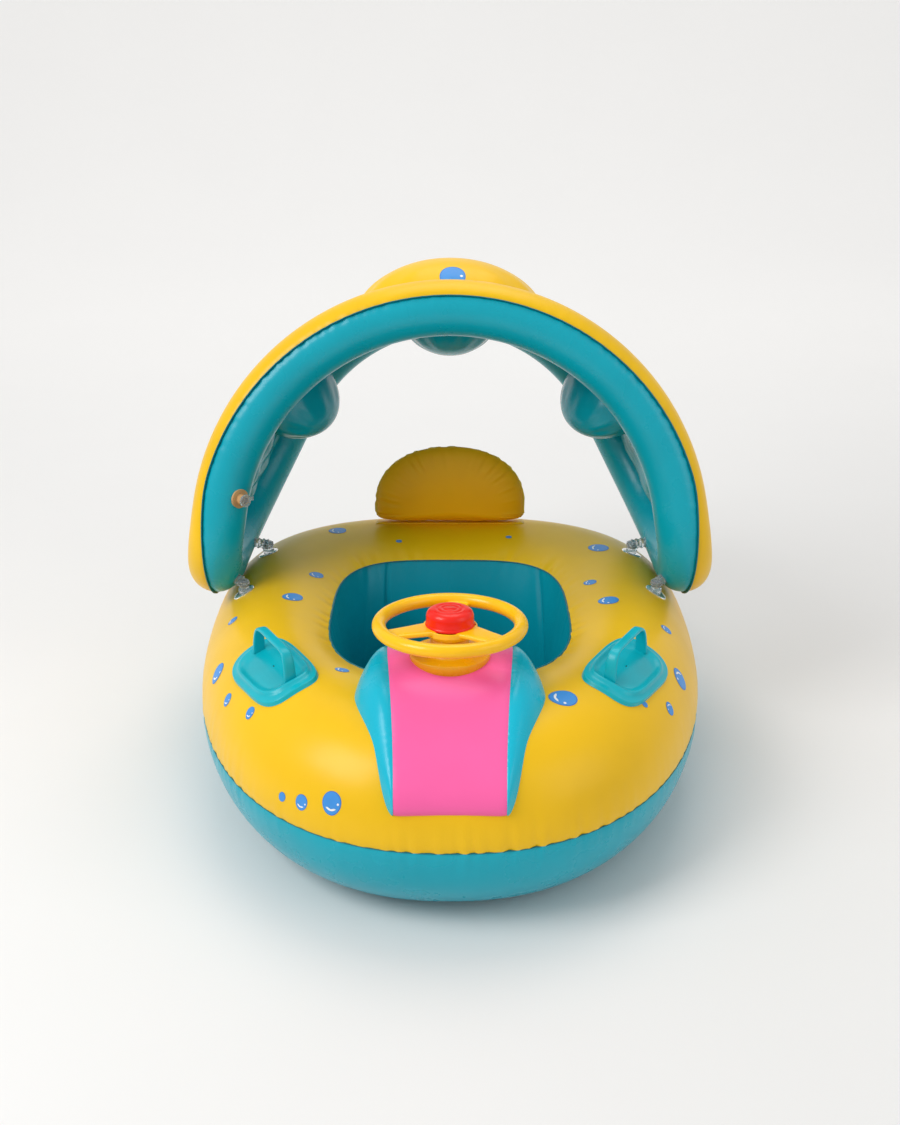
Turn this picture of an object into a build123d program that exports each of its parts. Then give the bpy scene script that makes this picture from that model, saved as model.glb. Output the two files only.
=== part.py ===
from build123d import *
import os
from math import cos, sin, pi, radians

os.makedirs("parts", exist_ok=True)

# Inflatable baby float seat with a lift-off sun canopy and a toy steering wheel.
# Millimetres. +Z is up, +X is the child's left-hand side, -Y is the front (the steering wheel end).
# The origin is on the ground, under the middle of the float.

# Ring -------------------------------------------------------------------------------------
ring_half_width = 290.0
ring_front_reach = 454.0        # from the widest line forwards
ring_back_reach = 246.0         # from the widest line backwards
ring_height = 200.0
front_roundness = 2.27          # exponent of the front half's outline, 2 is an ellipse
back_roundness = 2.58
crest_inset = 88.0              # from the widest outline in to the top of the ring
front_crest_inset = 97.0
skin = 3.0                      # stand-in thickness of the PVC sheets
weld_width = 8.0
weld_thickness = 2.0

# Seat well --------------------------------------------------------------------------------
well_half_width = 135.0
well_front_reach = 158.0
well_back_reach = 164.0
well_centre_y = -4.0
well_front_roundness = 2.75
well_back_roundness = 3.58
well_edge_drop = 15.0           # from the top of the ring down to the well's edge
well_bulge = 14.0               # how far the inflated wall swells into the well
sling_height = 14.0
sling_thickness = 3.0
leg_hole_width = 92.0
leg_hole_length = 120.0
leg_hole_spacing = 112.0
leg_hole_y = -48.0

# Console ----------------------------------------------------------------------------------
console_half_width = 92.0
strip_half_width = 57.0
console_rear_y = -142.0
console_front_y = -345.0
console_top_z = 231.0
console_crest_y = -200.0

# Steering ---------------------------------------------------------------------------------
column_lean = 3.4               # degrees, towards the child
base_flange_radius = 40.0
base_flange_thickness = 4.0
base_step_radius = 26.0
base_step_height = 5.0
column_radius = 19.0
wheel_radius = 76.5             # outside of the rim
rim_radius = 6.8
wheel_height = 32.0             # middle of the rim above the console
shaft_radius = 6.0
running_clearance = 0.05
hub_radius = 27.0
hub_bottom = 19.8               # heights along the column, from the console's top
hub_floor = 24.5
hub_top = 31.5
spoke_width_hub = 30.0
spoke_width_rim = 17.0
spoke_thickness = 5.0
spoke_drop = 2.5                 # below the middle of the rim
spoke_angles = (82.0, 201.0, 321.0)
screw_radius = 2.0
screw_length = 16.0
screw_head_radius = 4.0
screw_head_height = 2.6
washer_radius = 10.0
washer_thickness = 1.0
button_radius = 24.3
button_wall = 2.0
button_top = 49.0
button_gap = 0.3
button_travel = 6.0
reed_radius = 9.0
reed_height = 5.0

# Backrest ---------------------------------------------------------------------------------
backrest_y = 258.0
backrest_half_width = 95.0
backrest_height = 100.0
backrest_half_thickness = 26.0
backrest_neck = 2.0             # half thickness at the weld line
tab_depth = 24.0
tab_thickness = 2.0
tab_overhang = 4.0
tilt_gap = 1.0

# Handles ----------------------------------------------------------------------------------
handle_x = 180.0
handle_y = -158.0
handle_turn = 29.4              # degrees between the handle's length and the Y axis
handle_length = 122.0
handle_width = 66.0
handle_corner = 24.0
handle_plate_thickness = 3.5
handle_rim_height = 3.0
handle_rim_width = 5.0
handle_rim_inset = 10.0
strap_length = 88.0
strap_width = 12.0
strap_thickness = 4.5
strap_rise = 27.0

# Canopy -----------------------------------------------------------------------------------
tube_radius = 31.0
front_arch_radius = 266.0
front_apex = (100.0, 513.0)     # y, z of the tube's middle at the top
rear_arch_radius = 222.0
rear_apex = (318.0, 469.0)
canopy_lean = 12.0              # degrees that both arches lean back
front_arch_angle = 80.0         # half of each arch, before its leg starts
rear_arch_angle = 64.0
end_point = (276.0, 124.0, 205.0)       # lowest point of the tube's middle line
end_pulls = (76.0, 62.0, 105.0, 60.0)   # lengths of the leg curves' handles, front to rear
sheet_thickness = 1.5
sheet_gap = 0.15                # air on each side of the middle surface, and under the lobes
top_lobe = (112.0, 72.0, 58.0)          # half sizes: across, front to back, height
under_lobe = (62.0, 72.0, 56.0)
side_lobe = (46.0, 70.0, 40.0)
side_under_lobe = (46.0, 70.0, 64.0)
side_lobe_place = 0.72          # share of the way down each arch
sheet_end_taper = 14.0

# Connectors -------------------------------------------------------------------------------
connector_front = (241.0, 52.0)
connector_rear = (226.0, 162.0)
socket_flange_radius = 12.0
socket_flange_thickness = 1.5
socket_radius = 7.0
socket_height = 11.0            # above the ring's skin on the axis
pin_radius = 3.0
pin_length = 7.5
connector_gap = 0.3
weld_sink = 1.0                 # how far welded-on fittings reach into the tube's skin

# Valves -----------------------------------------------------------------------------------
valve_flange_radius = 11.0
valve_flange_thickness = 1.5
valve_stem_radius = 6.0
valve_stem_length = 9.0
valve_bore_radius = 3.6
plug_length = 7.0
plug_cap_radius = 7.0
plug_cap_thickness = 2.5
valve_gap = 0.3
canopy_valve_angle = 77.0       # degrees down the left leg of the front arch
ring_valve_angle = 45.0         # degrees up the back of the ring
backrest_valve_height = 55.0

# Worked-out values ------------------------------------------------------------------------
half_height = ring_height / 2
widest_y = ring_front_reach - (ring_front_reach + ring_back_reach) / 2
well_edge_z = ring_height - well_edge_drop
column_axis = Vector(0, sin(radians(column_lean)), cos(radians(column_lean)))
column_foot = Vector(0, console_crest_y, console_top_z)
column_plane = Plane(origin=column_foot, x_dir=(1, 0, 0), z_dir=column_axis)
arch_up = Vector(0, sin(radians(canopy_lean)), cos(radians(canopy_lean)))
across = Vector(1, 0, 0)

nodes = {}


def rounded_power(value, exponent):
    """Signed power, for the superellipse outlines."""
    return (1 if value >= 0 else -1) * abs(value) ** (2 / exponent)


def outline_point(angle, half_width, front, back, front_exp, back_exp, centre_y):
    """A point of an egg-shaped outline. Angle 0 is the front, and 90 degrees is +X."""
    is_front = cos(angle) >= 0
    exponent = front_exp if is_front else back_exp
    reach = front if is_front else back
    x = half_width * rounded_power(sin(angle), exponent)
    y = centre_y - reach * rounded_power(cos(angle), exponent)
    return x, y


def closed_face(points, z):
    return make_face(Spline([(x, y, z) for x, y in points], periodic=True))


OUTLINE_ANGLES = [2 * pi * i / 28 for i in range(28)]


def ring_outline(inset):
    """The ring's outline in plan, moved in by a distance at the sides and back."""
    front_inset = inset * front_crest_inset / crest_inset
    return [outline_point(a, ring_half_width - inset, ring_front_reach - front_inset,
                          ring_back_reach - inset, front_roundness, back_roundness, widest_y)
            for a in OUTLINE_ANGLES]


def well_outline(inset):
    """The seat well's outline in plan, moved in (or out, when negative) by a distance."""
    return [outline_point(a, well_half_width - inset, well_front_reach - inset,
                          well_back_reach - inset, well_front_roundness, well_back_roundness,
                          well_centre_y)
            for a in OUTLINE_ANGLES]


def ring_half(grow, upward):
    """Half of the ring's outer form, from its widest outline to its crest, without the well."""
    faces = []
    for rise in (0, 22, 42, 60, 76, 90):
        inset = crest_inset - (crest_inset + grow) * cos(radians(rise))
        z = half_height + upward * (half_height + grow) * sin(radians(rise))
        faces.append(closed_face(ring_outline(inset), z))
    return loft(faces)


def dish(lift):
    """The form above the ring's top surface, between its crest and the well's edge."""
    faces = []
    crest = ring_outline(crest_inset + 3)
    edge = well_outline(0)
    for share in (0.0, 0.35, 0.7, 1.0):
        ring = [(cx + (ex - cx) * share, cy + (ey - cy) * share)
                for (cx, cy), (ex, ey) in zip(crest, edge)]
        faces.append(closed_face(ring, ring_height + lift + 0.2 - (well_edge_drop + 0.2) * share ** 2))
    return loft(faces)


def well(inset):
    """The seat well's form, whose wall swells inwards at mid height."""
    faces = []
    for z in (-2, well_edge_z * 0.25, well_edge_z * 0.55, well_edge_z * 0.8, well_edge_z):
        swell = well_bulge * sin(pi * max(z, 0) / well_edge_z)
        faces.append(closed_face(well_outline(inset + swell), z))
    return loft(faces)


def slab(low, high):
    return Pos(0, 0, (low + high) / 2) * Box(1000, 1000, high - low)


ring_upper = ring_half(0, 1)
ring_lower = ring_half(0, -1)
dish_form = dish(0)
well_form = well(0)
wall_form = well(-skin)
well_cap = extrude(closed_face(well_outline(0), well_edge_z - 0.01), 100)
wall_cap = extrude(closed_face(well_outline(-skin), well_edge_z - 0.01), 100)


def gore_forms():
    """Four wedges about the well's middle, which meet at its corners: front, left, back and right."""
    corner_x, corner_y = well_half_width * 5, (well_front_reach + well_back_reach) / 2 * 5
    front_left, front_right = (corner_x, -corner_y), (-corner_x, -corner_y)
    back_left, back_right = (corner_x, corner_y), (-corner_x, corner_y)
    forms = {}
    for name, first, second in (("front", front_right, front_left), ("left", front_left, back_left),
                                ("back", back_left, back_right), ("right", back_right, front_right)):
        plan = make_face(Polyline((0, 0), first, second, close=True))
        forms[name] = Pos(0, well_centre_y, -10) * extrude(plan, ring_height + 20)
    return forms


def make_ring():
    upper = ring_upper - dish_form - well_cap - wall_form
    upper_air = ring_half(-skin, 1) - dish(-skin) - wall_cap - well(-2 * skin)
    top_skin = upper - upper_air
    lower = ring_lower - wall_form
    lower_air = ring_half(-skin, -1) - well(-2 * skin)
    bottom_skin = lower - (lower_air & slab(skin, half_height))
    wall = (wall_form - well_form) & slab(skin, well_edge_z - 1)
    for place, wedge in gore_forms().items():
        nodes["ring_top_skin_" + place] = top_skin & wedge
        nodes["ring_bottom_skin_" + place] = bottom_skin & wedge
        nodes["seat_wall_" + place] = wall & wedge
    band = (extrude(closed_face(ring_outline(skin), half_height), weld_thickness)
            - extrude(closed_face(ring_outline(skin + weld_width), half_height), weld_thickness))
    nodes["ring_seam_weld"] = band - top_skin


def make_sling():
    sheet = well_form & slab(sling_height, sling_height + sling_thickness)
    for side in (-1, 1):
        hole = extrude(Ellipse(leg_hole_width / 2, leg_hole_length / 2), 60)
        sheet -= Pos(side * leg_hole_spacing / 2, leg_hole_y, 0) * hole
    nodes["seat_sling"] = sheet


ring_solid = (ring_upper - dish_form - well_cap - well_form) + (ring_lower - well_form)


def console_profile(x, scale):
    """The console's outline in the YZ plane at x, scaled about a point inside the ring."""
    pivot_y, pivot_z = -240.0, 160.0
    top = console_top_z - pivot_z
    shape = [(console_rear_y - pivot_y - 8, 10), (console_rear_y - pivot_y, 42),
             (console_rear_y - pivot_y - 22, top - 7), (console_crest_y - pivot_y, top),
             (-20, top - 11), (-62, top - 40), (console_front_y - pivot_y + 14, 8),
             (console_front_y - pivot_y, -16), (-60, -40), (40, -30)]
    points = [(x, pivot_y + dy * scale, pivot_z + dz * scale) for dy, dz in shape]
    return make_face(Spline(points, periodic=True))


def make_console():
    strip = loft([console_profile(-strip_half_width, 0.99), console_profile(0, 1.0),
                  console_profile(strip_half_width, 0.99)])
    nodes["console_strip"] = strip - ring_solid
    for side, name in ((-1, "right"), (1, "left")):
        faces = [console_profile(side * strip_half_width, 0.99)]
        for share, scale in ((0.45, 0.93), (0.8, 0.78), (1.0, 0.52)):
            x = strip_half_width + (console_half_width - strip_half_width) * share
            faces.append(console_profile(side * x, scale))
        nodes["console_side_" + name] = loft(faces) - ring_solid


def on_column(height, shape):
    """Place a shape on the steering column's axis, at a height above the console."""
    return column_plane * Pos(0, 0, height) * shape


def disc(radius, low, high):
    return Pos(0, 0, (low + high) / 2) * Cylinder(radius, high - low)


def make_steering():
    sink = 8.0
    base = disc(base_flange_radius, -sink, base_flange_thickness)
    step_top = base_flange_thickness + base_step_height
    base += disc(base_step_radius, -sink, step_top)
    base += disc(column_radius, -sink, hub_bottom - button_gap)
    shaft_top = hub_floor + button_gap
    base += disc(shaft_radius, 0, shaft_top)
    screw_low = shaft_top + washer_thickness - screw_length
    base -= disc(screw_radius, screw_low, shaft_top)
    placed = on_column(0, base)
    nodes["steering_base"] = placed - nodes["console_strip"]

    washer = disc(washer_radius, shaft_top, shaft_top + washer_thickness)
    washer -= disc(screw_radius, shaft_top, shaft_top + washer_thickness)
    nodes["wheel_washer"] = on_column(0, washer)
    head_low = shaft_top + washer_thickness
    screw = disc(screw_radius, screw_low, head_low) + disc(screw_head_radius, head_low,
                                                           head_low + screw_head_height)
    screw -= Pos(0, 0, head_low + screw_head_height) * Box(5.0, 0.9, 2.4)
    screw -= Pos(0, 0, head_low + screw_head_height) * Box(0.9, 5.0, 2.4)
    nodes["wheel_screw"] = on_column(0, screw)

    ring_middle = wheel_radius - rim_radius
    wheel = Pos(0, 0, wheel_height) * Torus(ring_middle, rim_radius)
    spoke_bottom = wheel_height - spoke_drop - spoke_thickness / 2
    for angle in spoke_angles:
        inner, outer = hub_radius - 6, ring_middle
        plan = Polygon((inner, -spoke_width_hub / 2), (outer, -spoke_width_rim / 2),
                       (outer, spoke_width_rim / 2), (inner, spoke_width_hub / 2), align=None)
        spoke = extrude(plan, spoke_thickness)
        wheel += Rot(0, 0, angle) * Pos(0, 0, spoke_bottom) * spoke
    wheel += disc(hub_radius, hub_floor - 1.5, hub_top)
    wheel += disc(column_radius + 1.5, hub_bottom, hub_top)
    recess_radius = button_radius + button_gap
    wheel -= disc(recess_radius, hub_floor, hub_top + 20)
    wheel -= disc(shaft_radius + running_clearance, hub_bottom - 1, hub_floor + 1)
    nodes["steering_wheel"] = on_column(0, wheel)

    skirt_low = hub_floor + button_travel + button_gap
    button = disc(button_radius, skirt_low, button_top)
    button = fillet(button.edges().group_by(Axis.Z)[-1], 9.0)
    cavity_radius = button_radius - button_wall
    inner = disc(cavity_radius, skirt_low, button_top - button_wall - 0.8)
    inner = fillet(inner.edges().group_by(Axis.Z)[-1], 7.5)
    button -= inner
    for radius in (7.0, 12.0):
        groove = Pos(0, 0, button_top) * Torus(radius, 0.5)
        button -= groove
    nodes["horn_button"] = on_column(0, button)

    ceiling = button_top - button_wall - 0.8
    reed = disc(reed_radius, ceiling - reed_height, ceiling) - disc(1.6, ceiling - reed_height, ceiling)
    nodes["squeaker_reed"] = on_column(0, reed)
    wall_outer, wall_inner = 14.0, 12.4
    sleeve = disc(wall_outer, hub_floor, ceiling) - disc(wall_inner, hub_floor, ceiling)
    nodes["horn_bellows"] = on_column(0, sleeve)


def make_backrest():
    weld_z = ring_height + tab_thickness
    half_width = backrest_half_width
    tab = Box(2 * (half_width + tab_overhang), tab_depth, 24)
    tab = Pos(0, backrest_y, weld_z - 12) * tab
    nodes["backrest_tab"] = tab - ring_solid
    foot = weld_z + tilt_gap
    faces = []
    for share in (0.0, 0.1, 0.28, 0.5, 0.7, 0.86, 0.95, 0.995):
        width = half_width * (1 - share ** 2.3) ** 0.5
        thick = backrest_neck + (backrest_half_thickness - backrest_neck) * (
            min(1, share / 0.35) ** 0.8 * (1 - share ** 3) ** 0.7)
        thick = min(thick, width * 0.6)
        lens = [(width * cos(t), backrest_y + thick * sin(t)) for t in
                [2 * pi * i / 20 for i in range(20)]]
        faces.append(closed_face(lens, foot + backrest_height * share))
    nodes["backrest_pillow"] = loft(faces)


def rounded_prism(length, width, corner, low, high):
    plan = RectangleRounded(width, length, corner)
    return Pos(0, 0, low) * extrude(plan, high - low)


def make_handles():
    lift = handle_plate_thickness
    grown = (ring_half(lift, 1) - dish(lift) - well_cap)
    rim_form = ring_half(lift + handle_rim_height, 1) - dish(lift + handle_rim_height)
    for side, name in ((-1, "right"), (1, "left")):
        place = Pos(side * handle_x, handle_y, 0) * Rot(0, 0, -side * handle_turn)
        outline = place * rounded_prism(handle_length, handle_width, handle_corner, 120, 260)
        rim_length = handle_length - 2 * handle_rim_inset
        rim_side = handle_width - 2 * handle_rim_inset
        rim = rounded_prism(rim_length, rim_side, handle_corner - handle_rim_inset, 120, 260)
        rim -= rounded_prism(rim_length - 2 * handle_rim_width, rim_side - 2 * handle_rim_width,
                             handle_corner - handle_rim_inset - handle_rim_width, 120, 260)
        plate = (outline & grown) + (place * rim & rim_form)
        plate = plate - ring_solid
        nodes["handle_plate_" + name] = plate

        foot = ring_height + handle_plate_thickness - 20
        top = ring_height + handle_plate_thickness + strap_rise
        half = strap_length / 2
        outer = Polyline((-half, foot), (-half, top - 18))
        crown = ThreePointArc((-half, top - 18), (0, top), (half, top - 18))
        down = Polyline((half, top - 18), (half, foot), (half - strap_thickness, foot),
                        (half - strap_thickness, top - 20))
        inside = ThreePointArc((half - strap_thickness, top - 20), (0, top - strap_thickness),
                               (-half + strap_thickness, top - 20))
        back = Polyline((-half + strap_thickness, top - 20), (-half + strap_thickness, foot),
                        (-half, foot))
        profile = make_face(outer + crown + down + inside + back)
        band = extrude(Plane.YZ * profile, strap_width / 2, both=True)
        strap = place * band
        nodes["handle_strap_" + name] = strap - plate - grown


def arch_centre(apex, radius):
    y, z = apex
    return Vector(0, y, z) - arch_up * radius


front_centre = arch_centre(front_apex, front_arch_radius)
rear_centre = arch_centre(rear_apex, rear_arch_radius)


def arch_point(centre, radius, angle):
    return centre + across * (radius * sin(angle)) + arch_up * (radius * cos(angle))


def arch_tangent(angle):
    return across * cos(angle) - arch_up * sin(angle)


def leg_curves():
    """The tube's middle line at the +X end: down from the front arch, and up to the rear arch."""
    front, rear = radians(front_arch_angle), radians(rear_arch_angle)
    start = arch_point(front_centre, front_arch_radius, front)
    finish = arch_point(rear_centre, rear_arch_radius, rear)
    lowest = Vector(*end_point)
    backwards = Vector(0, 1, 0)
    pulls = end_pulls
    down = Bezier(start, start + arch_tangent(front) * pulls[0],
                  lowest - backwards * pulls[1], lowest)
    rise = Bezier(lowest, lowest + backwards * pulls[2],
                  finish + arch_tangent(rear) * pulls[3], finish)
    return down, rise


ARCH_STEPS = 6
LEG_STEPS = 7


def half_loop():
    """Points and directions along half of the tube, from the front apex to the rear apex."""
    front, rear = radians(front_arch_angle), radians(rear_arch_angle)
    down, rise = leg_curves()
    stations = []
    for i in range(ARCH_STEPS):
        angle = front * i / ARCH_STEPS
        stations.append((arch_point(front_centre, front_arch_radius, angle), arch_tangent(angle)))
    stations += [(down @ (i / LEG_STEPS), down % (i / LEG_STEPS)) for i in range(LEG_STEPS)]
    stations += [(rise @ (i / LEG_STEPS), rise % (i / LEG_STEPS)) for i in range(LEG_STEPS)]
    for i in range(ARCH_STEPS, -1, -1):
        angle = rear * i / ARCH_STEPS
        stations.append((arch_point(rear_centre, rear_arch_radius, angle), arch_tangent(angle) * -1))
    return stations


loop_middle = (front_centre + rear_centre) * 0.5


def section_plane(point, direction):
    """A plane across the tube, with its x axis pointing out of the canopy."""
    outward = point - loop_middle
    outward = Vector(outward.X, 0, outward.Z)
    outward = outward - direction * outward.dot(direction)
    return Plane(origin=point, x_dir=outward.normalized(), z_dir=direction.normalized())


def arch_tube(centre, radius, half_angle):
    """An arch of the tube, as a sector of a torus from one leg to the other."""
    start = arch_point(centre, radius, -radians(half_angle)) - centre
    plane = Plane(origin=centre, x_dir=start, z_dir=arch_up.cross(across))
    return plane * Torus(radius, tube_radius, major_angle=2 * half_angle, align=None)


def end_tube(stations):
    """The tube's bend at the +X end, from the front arch's end to the rear arch's end."""
    faces = []
    for point, direction in stations[ARCH_STEPS:ARCH_STEPS + 2 * LEG_STEPS + 1]:
        faces.append(section_plane(point, direction) * Circle(tube_radius))
    return loft(faces)


def sheet_frame(front, rear):
    """Corner points on the sheet at the tubes' surfaces, and the direction out of the canopy."""
    (a, front_way), (b, rear_way) = front, rear
    depth = (b - a).normalized()
    out = section_plane(a, front_way).x_dir + section_plane(b, rear_way).x_dir
    out = (out - depth * out.dot(depth)).normalized()
    edge = tube_radius - weld_sink
    front_reach = edge / front_way.normalized().cross(depth).length
    rear_reach = edge / rear_way.normalized().cross(depth).length
    return a + depth * front_reach, b - depth * rear_reach, out


def canopy_sheet(stations, low, high):
    """The sheet between the front and rear tubes, from one offset to another.

    It is one loft from side to side, because two mirrored halves would not meet level."""
    faces = []
    last = ARCH_STEPS + 3
    for i in range(-last, last + 1):
        side, i = (-1 if i < 0 else 1), abs(i)
        a, b, out = sheet_frame(stations[i], stations[-1 - i])
        taper = (b - a).normalized() * (sheet_end_taper if i == last else 0)
        a, b = a + taper, b - taper
        corners = [a + out * low, b + out * low, b + out * high, a + out * high]
        corners = [Vector(side * corner.X, corner.Y, corner.Z) for corner in corners]
        faces.append(make_face(Polyline(corners, close=True)))
    return loft(faces)


def canopy_lobe(centre, sizes, side):
    """A lobe of one sheet, centred at a share of the arches: side is 1 outside and -1 inside."""
    half_span, half_depth, height = sizes
    mean_angle = radians(front_arch_angle + rear_arch_angle) / 2
    share_span = half_span / ((front_arch_radius + rear_arch_radius) / 2 * mean_angle)
    faces = []
    for step in (-0.985, -0.85, -0.6, -0.3, 0, 0.3, 0.6, 0.85, 0.985):
        share = centre + step * share_span
        shrink = (1 - step ** 2) ** 0.5
        front = radians(front_arch_angle) * share
        rear = radians(rear_arch_angle) * share
        a, b, out = sheet_frame((arch_point(front_centre, front_arch_radius, front),
                                 arch_tangent(front)),
                                (arch_point(rear_centre, rear_arch_radius, rear),
                                 arch_tangent(rear)))
        depth = (b - a).normalized()
        base = (a + b) * 0.5 + out * (side * (sheet_thickness + 2 * sheet_gap))
        reach = depth * (half_depth * shrink)
        shoulder = out * (side * height * shrink * 0.56)
        top = base + out * (side * height * shrink)
        bow = Spline([base - reach, base - reach * 0.8 + shoulder, top,
                      base + reach * 0.8 + shoulder, base + reach])
        faces.append(make_face(bow + Line(base + reach, base - reach)))
    return loft(faces)


def make_canopy():
    stations = half_loop()
    nodes["canopy_tube_front"] = arch_tube(front_centre, front_arch_radius, front_arch_angle)
    nodes["canopy_tube_rear"] = arch_tube(rear_centre, rear_arch_radius, rear_arch_angle)
    nodes["canopy_tube_end_left"] = end_tube(stations)
    nodes["canopy_tube_end_right"] = mirror(nodes["canopy_tube_end_left"], about=Plane.YZ)
    nodes["canopy_outer_sheet"] = canopy_sheet(stations, sheet_gap, sheet_thickness)
    nodes["canopy_inner_sheet"] = canopy_sheet(stations, -sheet_thickness, -sheet_gap)
    for name, place, over, under in (("middle", 0, top_lobe, under_lobe),
                                     ("left", side_lobe_place, side_lobe, side_under_lobe),
                                     ("right", -side_lobe_place, side_lobe, side_under_lobe)):
        nodes["canopy_lobe_outer_" + name] = canopy_lobe(place, over, 1)
        nodes["canopy_lobe_inner_" + name] = canopy_lobe(place, under, -1)


def ring_top_at(x, y):
    """Height of the ring's outer surface over a point outside its crest line."""
    low, high = 0.0, crest_inset
    for _ in range(40):
        inset = (low + high) / 2
        exponent = front_roundness if y < widest_y else back_roundness
        reach = ring_front_reach - inset * front_crest_inset / crest_inset
        reach = reach if y < widest_y else ring_back_reach - inset
        value = (abs(x) / (ring_half_width - inset)) ** exponent
        value += (abs(y - widest_y) / reach) ** exponent
        if value < 1:
            low = inset
        else:
            high = inset
    share = 1 - low / crest_inset
    return half_height + half_height * (1 - share ** 2) ** 0.5


def make_connectors():
    stations = half_loop()
    grown = ring_half(socket_flange_thickness, 1) - dish(socket_flange_thickness) - well_cap
    for place, (x, y) in (("front", connector_front), ("rear", connector_rear)):
        surface = ring_top_at(x, y)
        top = surface + socket_height
        flange = Pos(x, y, surface) * Cylinder(socket_flange_radius, 80)
        flange = (flange & grown) - ring_solid
        post = Pos(x, y, (surface - 20 + top) / 2) * Cylinder(socket_radius, top - surface + 20)
        socket = flange + (post - ring_solid)
        bore_radius = pin_radius + running_clearance
        socket -= Pos(x, y, top - pin_length / 2) * Cylinder(bore_radius, pin_length + 1.0)
        foot = Vector(x, y, top + connector_gap)
        nearest = min(stations, key=lambda s: (s[0] - foot).length)
        toward = nearest[0] - foot
        way = toward.normalized()
        reach = toward.length - tube_radius + weld_sink
        arm = Plane(origin=foot - way * 6, z_dir=way) * (
            Pos(0, 0, (reach + 6) / 2) * Cylinder(socket_radius - 1, reach + 6))
        above = Pos(x, y, foot.Z + 60) * Box(200, 200, 120)
        plug = arm & above
        pin_low = top - pin_length + 0.4
        plug += Pos(x, y, (pin_low + foot.Z + 1) / 2) * Cylinder(pin_radius, foot.Z + 1 - pin_low)
        for side, name in ((-1, "right"), (1, "left")):
            turn = (lambda s: s) if side == 1 else (lambda s: mirror(s, about=Plane.YZ))
            nodes["connector_socket_%s_%s" % (place, name)] = turn(socket)
            nodes["connector_plug_%s_%s" % (place, name)] = turn(plug)


def make_valve(name, plane, host=None):
    """A stem and its stopper on a plane whose z axis points out of the host's surface."""
    sunk = 14.0 if host else weld_sink
    stem = disc(valve_flange_radius, -sunk, valve_flange_thickness)
    stem += disc(valve_stem_radius, -sunk, valve_stem_length)
    stem = plane * stem
    if host:
        stem -= host
    bore = disc(valve_bore_radius, valve_stem_length - plug_length - 0.6, valve_stem_length + 1)
    nodes[name + "_valve_stem"] = stem - plane * bore
    cap_low = valve_stem_length + valve_gap
    plug = disc(valve_bore_radius - running_clearance, valve_stem_length - plug_length, cap_low + 1)
    plug += disc(plug_cap_radius, cap_low, cap_low + plug_cap_thickness)
    plug += Pos(plug_cap_radius + 1.5, 0, cap_low + 0.6) * Box(6, 4, 1.2)
    nodes[name + "_valve_stopper"] = plane * plug


def make_valves():
    angle = -radians(canopy_valve_angle)
    middle = arch_point(front_centre, front_arch_radius, angle)
    outward = Vector(0.62, -0.72, -0.3)
    outward = outward - arch_tangent(angle) * outward.dot(arch_tangent(angle))
    outward = outward.normalized()
    make_valve("canopy", Plane(origin=middle + outward * tube_radius, z_dir=outward))
    rise = radians(ring_valve_angle)
    outward = Vector(0, cos(rise) / crest_inset, sin(rise) / half_height).normalized()
    back_crest = widest_y + ring_back_reach - crest_inset
    place = Vector(0, back_crest + crest_inset * cos(rise), half_height * (1 + sin(rise)))
    make_valve("ring", Plane(origin=place, z_dir=outward), ring_solid)
    foot = ring_height + tab_thickness + tilt_gap
    behind = Vector(0, backrest_y + backrest_half_thickness - 1, foot + backrest_valve_height)
    make_valve("backrest", Plane(origin=behind, z_dir=(0, 1, 0)), nodes["backrest_pillow"])


make_ring()
make_sling()
make_console()
make_steering()
make_backrest()
make_handles()
make_canopy()
make_connectors()
make_valves()

for node_name, shape in nodes.items():
    export_step(shape, "parts/" + node_name + ".step")
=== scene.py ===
from math import cos, pi, radians, sin

import bpy
import numpy as np
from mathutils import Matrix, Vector
from mathutils.bvhtree import BVHTree
from mathutils.geometry import delaunay_2d_cdt


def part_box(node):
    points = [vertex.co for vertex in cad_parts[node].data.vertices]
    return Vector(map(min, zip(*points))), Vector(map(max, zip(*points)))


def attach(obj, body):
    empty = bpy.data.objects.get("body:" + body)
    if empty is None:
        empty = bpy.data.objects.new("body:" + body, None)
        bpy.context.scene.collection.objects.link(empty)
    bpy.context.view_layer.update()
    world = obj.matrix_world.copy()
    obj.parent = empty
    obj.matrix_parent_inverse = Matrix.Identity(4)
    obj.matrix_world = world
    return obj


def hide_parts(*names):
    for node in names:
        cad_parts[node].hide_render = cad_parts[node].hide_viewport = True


# Inflatable baby float seat with a sun canopy and a toy steering wheel, in metres.
# +Z is up, -Y is the front, +X is the child's left. Each piece is built where its CAD node lies.

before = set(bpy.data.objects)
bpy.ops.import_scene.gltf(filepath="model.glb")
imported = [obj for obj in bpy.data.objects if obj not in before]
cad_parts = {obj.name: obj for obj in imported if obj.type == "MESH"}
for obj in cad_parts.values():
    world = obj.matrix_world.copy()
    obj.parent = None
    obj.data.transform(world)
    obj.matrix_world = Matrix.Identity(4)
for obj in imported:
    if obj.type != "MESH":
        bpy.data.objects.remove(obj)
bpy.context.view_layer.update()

# Sizes read from the frame -----------------------------------------------------------------
GORES = ("front", "left", "back", "right")
gore_boxes = {gore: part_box("ring_top_skin_" + gore) for gore in GORES}
ring_half_width = gore_boxes["left"][1].x
ring_height = gore_boxes["front"][1].z
ring_mid = ring_height / 2
ring_front_y, ring_back_y = gore_boxes["front"][0].y, gore_boxes["back"][1].y

# Shape of the ring, as in the CAD part ---------------------------------------------------------
widest_y = 0.104
front_reach = widest_y - ring_front_y
back_reach = ring_back_y - widest_y
front_roundness, back_roundness = 2.27, 2.58
crest_inset = 0.088
front_crest_inset = 0.097
well_half_width = 0.135
well_front_reach, well_back_reach = 0.158, 0.164
well_centre_y = -0.004
well_roundness = (2.75, 3.58)
well_edge_z = 0.185
well_bulge = 0.014

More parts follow.
